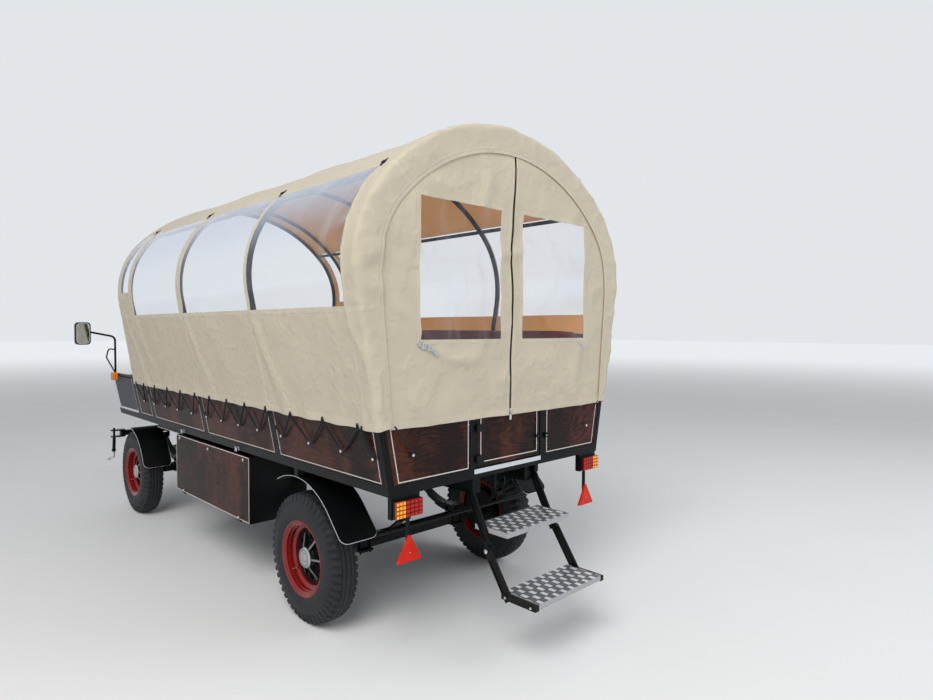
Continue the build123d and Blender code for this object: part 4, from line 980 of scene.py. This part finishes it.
def arch_offset(y, z):
    """Distance of a point outside the hoops' arch, negative inside, and the outward direction."""
    side = copysign(1, y)
    y = abs(y)
    for low_angle, centre_y, centre_z, radius in (
        (joint_angle, 0, roof_z, roof_radius), (-lean_angle, shoulder_y, shoulder_z, shoulder_radius)
    ):
        if atan2(z - centre_z, y - centre_y) > low_angle:
            reach = hypot(y - centre_y, z - centre_z)
            return reach - radius, side * (y - centre_y) / reach, (z - centre_z) / reach
    return (y - wall_half(z)) * cos(lean_angle), side * cos(lean_angle), -sin(lean_angle)


def zip_bow(z):
    """Sideways bow of the zip at a height."""
    pulled = clamp((2.67 - z) / 0.45)
    slack = clamp((1.90 - z) / 0.30)
    return 0.004 + 0.014 * pulled + 0.018 * bump_at(z, 2.15, 0.11) + 0.020 * slack


def curtain_depth(y, z):
    """How far the curtain's outer face stands behind its plane."""
    tucked = clamp(0.25 - (arch_offset(y, z)[0] + band_width) / 0.08)
    drag = 0.011 * soft(y * 2.5 + z, z * 4 - y * 2.5, 43) + 0.004 * soft(y * 9, z * 9, 47)
    drag += 0.012 * crease(y * 2.0 + z * 1.3, z * 2.4 - y * 1.7, 73)
    pleat = 0.007 * max(0, 1 - (z - hem) / 0.30) * soft(y * 7, z * 3, 53)
    rail = 0.0025 * bump_at(y, zip_y, 0.012)
    return (drag + pleat) * tucked * min(1, (abs(y - zip_y) + 0.02) / 0.05) + rail


def curtain_point(y, z):
    """The curtain's corner and its flat place; its rim is snapped to the arch."""
    offset, out_y, out_z = arch_offset(y, z)
    if offset > -tuck - 0.6 * curtain_step:
        y -= (offset + tuck) * out_y
        z -= (offset + tuck) * out_z
    bow = zip_bow(z) * bump_at(y, zip_y, 0.09)
    sag = 0.006 * soft(y * 3, 0, 59) * max(0, 1 - (z - hem) / 0.1)
    return (curtain_x - curtain_depth(y, z), y + bow, max(z + sag, hem)), (y, z)


def in_rear_window(y, z):
    """Whether a place on the curtain lies in one of its clear windows."""
    return rear_low < z < rear_high and any(low < y < high for low, high in rear_bays)


def in_curtain(y, z):
    """Whether a cell is cloth of the curtain."""
    if abs(y - zip_y) < zip_half and z < zip_top:
        return False
    return arch_offset(y, z)[0] < -tuck and not in_rear_window(y, z)


ys = [-1.02, zip_y - zip_half, zip_y + zip_half, 1.02] + [y for bay in rear_bays for y in bay]
curtain_grid = (spread(ys, curtain_step), spread([hem, rear_low, rear_high, zip_top, apex], curtain_step))
curtain_cell = ((0, 0), (0, 1), (1, 1), (1, 0))
curtain_canvas = Finish("curtain_canvas", Specular_IOR_Level=0.35)
across_flat, up_flat, weave, mottle, creased = woven(curtain_canvas, 2.4, 3.5)
weld_wide = 0.022        # of the welds round a rear window
hems = abs(across_flat - zip_y).band(0.018, 0.010, weld_edge) | up_flat.band(hem + 0.018, 0.017, weld_edge)
frames = up_flat.band((rear_low + rear_high) / 2, (rear_high - rear_low) / 2 + weld_wide, weld_edge)
for low, high in rear_bays:
    hems = hems | frames * across_flat.band((low + high) / 2, (high - low) / 2 + weld_wide, weld_edge)
tone = mottle.blend((0.455, 0.405, 0.310), (0.510, 0.460, 0.358))
curtain_canvas.colour((hems * 0.3).blend(tone, (0.53, 0.485, 0.385)))
height = weave * 0.10 + hems * 0.45 + curtain_canvas.place.clouds(60.0, 4.0) * 0.25 + creased * 1.4
curtain_canvas.bump(height, 0.0024)
curtain = sheet_of_cloth(
    "curtain", *curtain_grid, in_curtain, curtain_point, curtain_cell,
    curtain_canvas.material, fabric_thick, lit_underside.material,
)
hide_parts("rear_curtain")
rear_sheets = sheet_of_cloth(
    "rear_sheets", *curtain_grid, in_rear_window, curtain_point, curtain_cell, clear.material, sheet_thick
)
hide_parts("rear_windows")

# Zip: black coil on a black tape, sewn between the curtain's halves; its slider is run down to
# the hem, and a pale tab hangs below the cloth.


def mottled(name, size, first, second, **fixed):
    """A plain finish, clouded between two tones."""
    clouded = Finish(name, **fixed)
    clouded.colour(clouded.place.clouds(size).blend(first, second))
    return clouded.material


def zip_point(z, stand):
    """A point on the zip's middle line, so far behind the curtain."""
    return Vector((curtain_x - curtain_depth(zip_y, z) - stand, zip_y + zip_bow(z), z))


black_tones = ((0.006, 0.006, 0.007), (0.014, 0.014, 0.015))
zip_black = mottled("zip_black", 60.0, *black_tones, Roughness=0.55, Specular_IOR_Level=0.3)
zip_line = Fittings()
zip_tape = [zip_point(z, -0.0005) for z in spread([hem + 0.002, zip_top], 0.02)]
zip_line.strip(zip_tape, 0.0135, 0.0012, backwards, False)
tooth_pitch = 0.0065
for index in range(int((zip_top - hem - 0.01) / tooth_pitch)):
    tooth = zip_point(hem + 0.005 + index * tooth_pitch, 0.0007)
    tooth.y += 0.0008 if index % 2 else -0.0008
    zip_line.bar(tooth - upwards * 0.0018, tooth + upwards * 0.0018, 0.006, 0.0018, backwards)
coil = zip_line.made("zip", "wagon", zip_black)
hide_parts("rear_zip")
slider = Fittings()
slide_at = zip_point(hem + 0.030, 0.0012)
slider.bar(slide_at - upwards * 0.012, slide_at + upwards * 0.010, 0.013, 0.005, backwards)
puller = ((0.004, -0.006), (0.005, -0.028), (-0.005, -0.028), (-0.004, -0.006))
slider.wire([slide_at + Vector((-0.006, y, z)) for y, z in puller], 0.0013, 6, True)
slider.made("zip_slider", "wagon", zinc)
tab = Fittings()
tab_top = zip_point(hem + 0.004, 0.002)
tab.bar(tab_top, tab_top + Vector((-0.002, 0.004, -0.030)), 0.016, 0.0016, backwards)
tab.made("zip_tab", "wagon", strip_metal)

# Curtain straps: a webbing strap below each rear window, the left one with two adjusters, for
# rolling the curtain up, and elastic ends that pull its corners down to knobs on the boards.
webbing = mottled("pale_webbing", 300.0, (0.26, 0.27, 0.28), (0.46, 0.47, 0.48), Roughness=0.7)
straps = Fittings()
left_strap, right_strap = [
    [Vector((curtain_x - 0.006, y, z)) for y, z in places]
    for places in (((0.697, 1.664), (0.640, 1.647), (0.596, 1.631)), ((-0.612, 1.655), (-0.676, 1.628)))
]
straps.strip(left_strap, 0.022, 0.003, backwards, False)
strap_end = [left_strap[2] + Vector((-0.003, y, z)) for y, z in ((0.004, 0.002), (-0.016, -0.022))]
straps.bar(*strap_end, 0.022, 0.003, backwards)
straps.strip(right_strap, 0.016, 0.003, backwards, False)
straps.made("curtain_straps", "wagon", webbing)
adjusters = Fittings()
for y, z in ((0.668, 1.655), (0.628, 1.643)):
    middle = Vector((curtain_x - 0.0095, y, z))
    ring = ((0.012, 0.014), (-0.012, 0.010), (-0.012, -0.014), (0.012, -0.010))
    adjusters.wire([middle + Vector((0, a, b)) for a, b in ring], 0.003, 6, True)
    adjusters.wire([middle + upwards * b for b in (0.012, -0.012)], 0.0025, 6)
adjusters.made("strap_adjusters", "wagon", zinc)

elastic_tones = ((0.007, 0.007, 0.008), (0.016, 0.016, 0.017))
elastic = mottled("black_elastic", 250.0, *elastic_tones, Roughness=0.6, Specular_IOR_Level=0.3)
knob_outline = [(0, 0.005), (0.010, 0.005), (0.011, 0.0085), (0.015, 0.0085), (0.018, 0.005)]
pulls = Fittings()
corner_knobs = Fittings()
for top, low, thick in (
    ((0.843, 1.262), (0.723, 1.117), 0.0045),
    ((-0.821, 1.262), (-0.736, 1.113), 0.0018),
):
    corner_knobs.turned(Vector((rear_plane, *low)), backwards, knob_outline)
    held = Vector((tilt_rear - 0.014, *top))
    neck = Vector((rear_plane - 0.012, *low))
    fixed = neck + upwards * 0.004
    pulls.wire([held.lerp(fixed, share) for share in (-0.08, 0.0, 0.5, 1.0)], thick)
    turns = (0, 1.05, 2.1, 3.14, 4.2, 5.24)
    pulls.wire([neck + Vector((0, cos(a), sin(a))) * 0.010 for a in turns], thick, 8, True)
pulls.made("curtain_elastics", "wagon", elastic)
corner_knobs.made("corner_knobs", "wagon", zinc)

# Lacing: a black elastic zigzags from eyelets in the tilt's hem down to knobs on the side
# boards; each run down is two strands side by side and each run up one doubled strand.
lacing_tops = [3.512, 3.287, 3.029, 2.752, 2.471, 2.195, 1.923, 1.652, 1.383, 1.111, 0.798, 0.479, 0.161]
lacing_knobs = [3.395, 3.144, 2.885, 2.625, 2.339, 2.066, 1.815, 1.552, 1.282, 0.982, 0.667, 0.351, 0.072]
lacing_end = 0.118       # where the last run up is tied
eyelet_height = hem + 0.018
under_hem = hem - 0.004
knob_height = 1.112
lacing = Fittings()
eyelets = Fittings()
knobs = Fittings()


def on_hem(x, z, further=0.0):
    """A point just outside the cloth at the hem, or further out."""
    return wall_point(x, z, tilt_offset(station(x), run_at(z)) + 0.003 + further)


for top_x, next_x, knob_x in zip(lacing_tops, lacing_tops[1:] + [lacing_end], lacing_knobs):
    eyelet = on_hem(top_x, eyelet_height)
    rim = [eyelet + Vector((cos(a), 0, sin(a))) * 0.009 for a in (0, 0.9, 1.8, 2.7, 3.6, 4.5, 5.4)]
    eyelets.wire(rim, 0.0022, 6, True)
    for shift in (-0.006, 0.006):
        strand = [
            eyelet + Vector((shift * 0.6, 0, 0)),
            on_hem(top_x + shift - 0.012, under_hem, 0.002),
            wall_point(knob_x + 0.012 + shift, knob_height + 0.020, 0.010),
            wall_point(knob_x + shift * 0.5, knob_height + shift * 0.4, 0.009),
        ]
        lacing.wire(strand, 0.0031, 6)
    knobs.turned(wall_point(knob_x, knob_height, -board_sunk), leaning_out, knob_outline)
    doubled = [
        wall_point(knob_x - 0.004, knob_height - 0.008, 0.009),
        wall_point(knob_x - 0.020, knob_height - 0.002, 0.010),
        on_hem(next_x + 0.008, under_hem, 0.003),
        on_hem(next_x, eyelet_height),
    ]
    lacing.wire(doubled, 0.0054, 6)
lacing.both().made("lacing", "wagon", elastic)
eyelets.both().made("eyelets", "wagon", elastic)
knobs.both().made("lacing_knobs", "wagon", zinc)

# Roof buckles: short black webbing straps with buckles, which hold the tilt to each hoop at the
# edge of the closed roof strip.
buckles = Fittings()
buckle_run = strip_run - 0.03
for place in hoop_places[:-1]:
    x = place + (0.06 if place == hoop_places[0] else 0.0)
    y, z, out_y, out_z = arch(buckle_run, tilt_offset(x, buckle_run) + 0.001)
    outward = Vector((0, out_y, out_z))
    along_arch = backwards.cross(outward)
    seat = Vector((x, y, z))
    frame_seat = seat + outward * 0.003
    buckles.bar(seat - along_arch * 0.035, seat + along_arch * 0.030, 0.014, 0.003, outward)
    buckles.bar(frame_seat - along_arch * 0.009, frame_seat + along_arch * 0.009, 0.022, 0.005, outward)
buckles.both().made("roof_buckles", "wagon", elastic)

# Benches: padded cushions covered in dark red, drawn in at even lengths, on the seats and
# against the back boards.
cover = Finish("seat_cover", Coat_Weight=0.1, Coat_Roughness=0.3)
cover_tone = cover.place.clouds(6.0, 5.0, 0.6)
cover.colour(cover_tone.blend((0.10, 0.012, 0.010), (0.17, 0.024, 0.018)))
cover.vary("Roughness", cover_tone * 0.2 + 0.42)
cover.bump(cover.place.clouds(220.0, 3.0), 0.0006)
pads = Fittings()
pad_half = 0.0270        # half the thickness of a cushion
pad_middle = 0.0275      # its middle off what it rests on
squareness = 0.28        # of its section; 1 would be round
section_turns = 24


def cushion(centre, length, width, thick, seams):
    """A padded block: three half extents as vectors, pinched at its seams."""
    rows = []
    steps = 8 * seams
    for index in range(steps + 1):
        share = 2 * index / steps - 1
        end = (1 - abs(share) ** 24) ** 0.4
        pinch = abs(sin((share + 1) / 2 * pi * seams)) ** 0.25
        row = []
        for turn in range(section_turns):
            c, s = cos(2 * pi * turn / section_turns), sin(2 * pi * turn / section_turns)
            a = copysign(abs(c) ** squareness, c)
            b = copysign(abs(s) ** squareness, s)
            puff = 1 + 0.10 * pinch * (1 - a**4) - 0.06
            sideways = width * (a * (0.2 + 0.8 * end) * (0.985 + 0.015 * pinch))
            row.append(centre + length * share + sideways + thick * (b * puff * (0.15 + 0.85 * end)))
        rows.append(row)
    pads.rows(rows)


seat_low = 1.4303
seat_inner = 0.452
back_face = 0.0833       # the back boards' faces inside the wall's plane
back_thick = 0.056       # of the back cushions, in front of which the seat cushions end
seat_outer = wall_half(seat_low) - back_face / cos(lean_angle) - back_thick
back_low, back_high = 1.522, 1.708
bench_rear, bench_front = 0.121, 3.399
bench_mid = (bench_rear + bench_front) / 2
half_bench = Vector(((bench_front - bench_rear) / 2, 0, 0))
seat_mid = Vector((station(bench_mid), (seat_inner + seat_outer) / 2, seat_low + pad_middle))
cushion(seat_mid, half_bench, leftwards * ((seat_outer - seat_inner) / 2), upwards * pad_half, 4)
up_wall = Vector((0, sin(lean_angle), cos(lean_angle)))
back_mid = wall_point(bench_mid, (back_low + back_high) / 2, -(back_face + pad_middle))
cushion(back_mid, half_bench, up_wall * ((back_high - back_low) / 2), leaning_out * pad_half, 4)
pads.both()
driver_half = leftwards * 0.698
driver_rear, driver_front = station(3.6963), station(4.080)
driver_low, driver_high = 1.506, 1.759
seat_at = Vector(((driver_rear + driver_front) / 2, 0, 1.4503 + pad_middle))
cushion(seat_at, driver_half, backwards * ((driver_rear - driver_front) / 2), upwards * pad_half, 2)
back_at = Vector((driver_rear + pad_middle, 0, (driver_low + driver_high) / 2))
cushion(back_at, driver_half, upwards * ((driver_high - driver_low) / 2), backwards * -pad_half, 2)
padding = pads.made("seat_cushions", "wagon", cover.material)
padding.data.set_sharp_from_angle(angle=radians(80))
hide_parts("cushions")

# Draught hooks: a bright forged hook that swivels on a pin below each arm of the splinter bar,
# to take the traces.
bar_low, bar_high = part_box("splinter_bar")
arm_foot = Vector(((bar_low.x + bar_high.x) / 2 - 0.020, bar_high.y - 0.020, bar_low.z + 0.004))
hooks = Fittings()
hooks.turned(arm_foot, -upwards, [(0, 0.010), (0.030, 0.008), (0.046, 0.009), (0.048, 0.005)])
bends = [
    (0, 0, -0.046), (0.012, 0.004, -0.060), (0.040, 0.010, -0.062), (0.070, 0.016, -0.074),
    (0.092, 0.020, -0.082),
]
swing = [arm_foot + Vector(bend) for bend in bends]
hooks.wire(swing, 0.0085, 10)
hook_end = [(-0.012, 0.009), (-0.004, 0.015), (0.008, 0.015), (0.016, 0.008)]
hooks.turned(swing[-1], Vector((0.9, 0.2, -0.3)), hook_end)
hooks.both().made("draught_hooks", "front_bogie", bright_metal("hook_steel", (0.62, 0.63, 0.64), 0.28))

# Driver's end: ribbed dark panels, edged with strips of polished aluminium, and mirrors with a
# pale border round the glass.
panel = Finish("footwell_panel", Roughness=0.55, Coat_Weight=0.15, Coat_Roughness=0.4)
weft_x, weft_y, weft_z = panel.place.axes()
ribs = weft_x.repeat(0.012) + weft_z.repeat(0.012) + weft_y.repeat(0.012)
panel_tone = panel.place.clouds(25.0, 4.0, 0.6)
panel.colour(panel_tone.blend((0.012, 0.016, 0.026), (0.032, 0.039, 0.055)))
panel.bump(ribs + panel_tone * 0.5, 0.0008)
wear("footwell", panel.material)
foot_strips = Fittings()
for start, end, wide, thick in (
    ((4.187, 0.983), (4.187, 1.289), 0.050, 0.003),
    ((3.655, 0.992), (4.160, 0.992), 0.020, 0.003),
    ((3.656, 0.993), (3.656, 1.289), 0.005, 0.002),
):
    foot_strips.bar(wall_point(*start, hair), wall_point(*end, hair), wide, thick, leaning_out)
foot_strips.both().made("footwell_edges", "wagon", bright_metal("polished_edge", (0.93, 0.93, 0.94), 0.16))

mirror_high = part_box("mirrors")[1]
head_height = 0.205
head_middle = Vector((station(4.176) - hair, mirror_high.y - 0.0625, mirror_high.z - head_height / 2))
borders = Fittings()
borders.plate(head_middle, -leftwards, upwards, 0.109, 0.189, 0.028, 0.0012)
pale_border = mottled("mirror_border", 40.0, (0.34, 0.36, 0.36), (0.42, 0.44, 0.44), Roughness=0.4)
borders.both().made("mirror_borders", "wagon", pale_border)
glasses = Fittings()
glasses.plate(head_middle + backwards * 0.0014, -leftwards, upwards, 0.095, 0.175, 0.022, 0.001)
glasses.both().made("mirror_glasses", "wagon", bright_metal("mirror_glass", (0.70, 0.74, 0.74), 0.0))

# Lamps: moulded plastic lenses with a grid of squares, screwed on, amber outside and red inside;
# amber marker lamps at the front and red triangles of prisms below the rear lamps.


def lens_finish(name, dark, bright, cells, glow, housing=None):
    """A ribbed lens: pitch and a line of its squares across and up; its housing is black; glow is a painted
    glow, as if daylight came through the unlit lamp.
    """
    lens_paint = Finish(
        name, Roughness=0.15, Specular_IOR_Level=0.14, Coat_Weight=0.06, Coat_Roughness=0.05,
        Emission_Strength=glow,
    )
    x, y, z = lens_paint.place.axes()
    (pitch_y, line_y), (pitch_z, line_z) = cells
    over = (abs(y) - line_y).repeat(pitch_y)
    upper = (z - line_z).repeat(pitch_z)
    squares = over.step(0.10, 0.17) * upper.step(0.12, 0.20)
    tone = squares.blend(dark, bright)
    if housing:
        tone = x.step(housing, housing + 0.0005).blend(tone, (0.008, 0.008, 0.009))
    lens_paint.colour(tone, glows=True)
    lens_paint.bump(squares, 0.0015)
    return lens_paint.material


rows_up = (0.021, 0.822)
lamp_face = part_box("rear_lamps")[0].x
lens_edge = lamp_face + 0.011
for node, *look in (
    (
        "rear_indicators", "amber_lens", (0.28, 0.045, 0.003), (0.90, 0.36, 0.03),
        ((0.0197, 0.785), rows_up), 0.18, lens_edge,
    ),
    (
        "rear_lamps", "red_lens", (0.10, 0.002, 0.0015), (0.44, 0.012, 0.006),
        ((0.0262, 0.680), rows_up), 0.14, lens_edge,
    ),
    (
        "front_lamps", "marker_lens", (0.50, 0.10, 0.004), (0.85, 0.28, 0.012),
        ((0.018, 0.9), (0.012, 1.29)), 0.12,
    ),
):
    wear(node, lens_finish(*look))
prisms = Finish(
    "reflector_red", Roughness=0.22, Specular_IOR_Level=0.12, Coat_Weight=0.04, Coat_Roughness=0.05,
    Emission_Strength=0.06,
)
_, prism_y, prism_z = prisms.place.axes()
facets = prism_y.repeat(0.006) + prism_z.repeat(0.0052)
# painted light: glints on the prisms' facets and patches of light and shade, with a painted glow as if light
# came back out of the reflector
painted_prism_light = (prisms.place.clouds(16.0, 3.0) - 0.3) * 1.2 + facets * 0.5
prisms.colour(painted_prism_light.blend((0.34, 0.005, 0.002), (0.74, 0.028, 0.006)), glows=True)
prisms.bump(facets, 0.0012)
wear("reflectors", prisms.material)
lamp_screws = Fittings()
reflector_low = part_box("reflectors")[0]
lamp_screws.screw(Vector((reflector_low.x - hair, 0.742, reflector_low.z + 0.045)), backwards, 0.0025)
lamp_screws.screw(Vector((lamp_face - 0.0002, 0.8385, 0.8275)), backwards, 0.0035)
lamp_screws.turned(Vector((station(0.012), 0.715, 0.8155)), -upwards, button)
lamp_screws.both().made("lamp_screws", "wagon", zinc)

# Steps: treads folded from aluminium plate with raised bars, bolted between black channels; the
# lower step turns on a knuckle at each side.
plate_metal = Finish("tread_plate", Metallic=0.45)
tread_x, tread_y, _ = plate_metal.place.axes()
cell_x = tread_x / 0.051
cell_y = tread_y / 0.0325
bar_pitch = 0.0120
odd = (cell_x.math("FLOOR") + cell_y.math("FLOOR")).math("PINGPONG", 1.0)
inside = cell_x.repeat(1.0).step(0.05, 0.12) * cell_y.repeat(1.0).step(0.06, 0.14)
leaning_one = 1 - (tread_x + tread_y).repeat(bar_pitch).step(0.12, 0.22)
leaning_two = 1 - (tread_x - tread_y).repeat(bar_pitch).step(0.12, 0.22)
raised = leaning_one * odd * inside + leaning_two * (1 - odd) * inside
level_top = plate_metal.up.axes()[2].step(0.5, 0.9)
grime = plate_metal.place.clouds(26.0, 5.0, 0.65).step(0.45, 0.8)
# painted reflection: the cells whose bars lean one way are painted near white, the others near black, and
# the raised bars lighter, as the bars catch the light in turn
painted_cell_glint = odd * inside * 0.80 + raised * 0.25 + (1 - inside) * 0.05 * odd
top_with_painted_glint = painted_cell_glint.blend((0.075, 0.085, 0.105), (0.97, 0.97, 0.98))
# painted shade: faces that don't face up are painted a darker grey than the tops
plate_with_painted_shade = level_top.blend((0.40, 0.41, 0.43), top_with_painted_glint)
plate_metal.colour((grime * 0.3).blend(plate_with_painted_shade, (0.16, 0.16, 0.17)))
plate_metal.vary("Roughness", 0.42 - raised * 0.12 + grime * 0.15)
plate_metal.bump(raised * level_top, 0.0018)
wear("upper_tread lower_tread", plate_metal.material)
low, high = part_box("lower_tread")
step_bolts = Fittings()
knuckle = Vector((station(-0.108), 0.3025, 0.560))
step_bolts.turned(knuckle, leftwards, [(0, 0.013), (0.008, 0.013), (0.010, 0.010)], 6)
for x in (low.x + 0.03, high.x - 0.03):
    foot = Vector((x, 0.2973, low.z + 0.008))
    step_bolts.turned(foot, leftwards, [(0, 0.007), (0.005, 0.007), (0.006, 0.005)], 6)
step_bolts.both().made("step_bolts", "lower_steps", zinc)

# Tyre valves: a short plated stem that stands out of each rim's well, between the ribs of
# the hub.
valve_turning = [(0, 0.005), (0.012, 0.005), (0.013, 0.0035), (0.030, 0.0035), (0.032, 0.002)]
for wheel in wheels:
    side = 1 if wheel.endswith("left") else -1
    axle = axle_rear if wheel.startswith("rear") else axle_front
    valve = Fittings()
    foot = Vector((axle + 0.137, side * (track_half + 0.028), axle_height - 0.105))
    valve.turned(foot, Vector((-0.25, side, 0.2)), valve_turning, 10)
    valve.made("valve_" + wheel, "wheel_" + wheel, zinc)
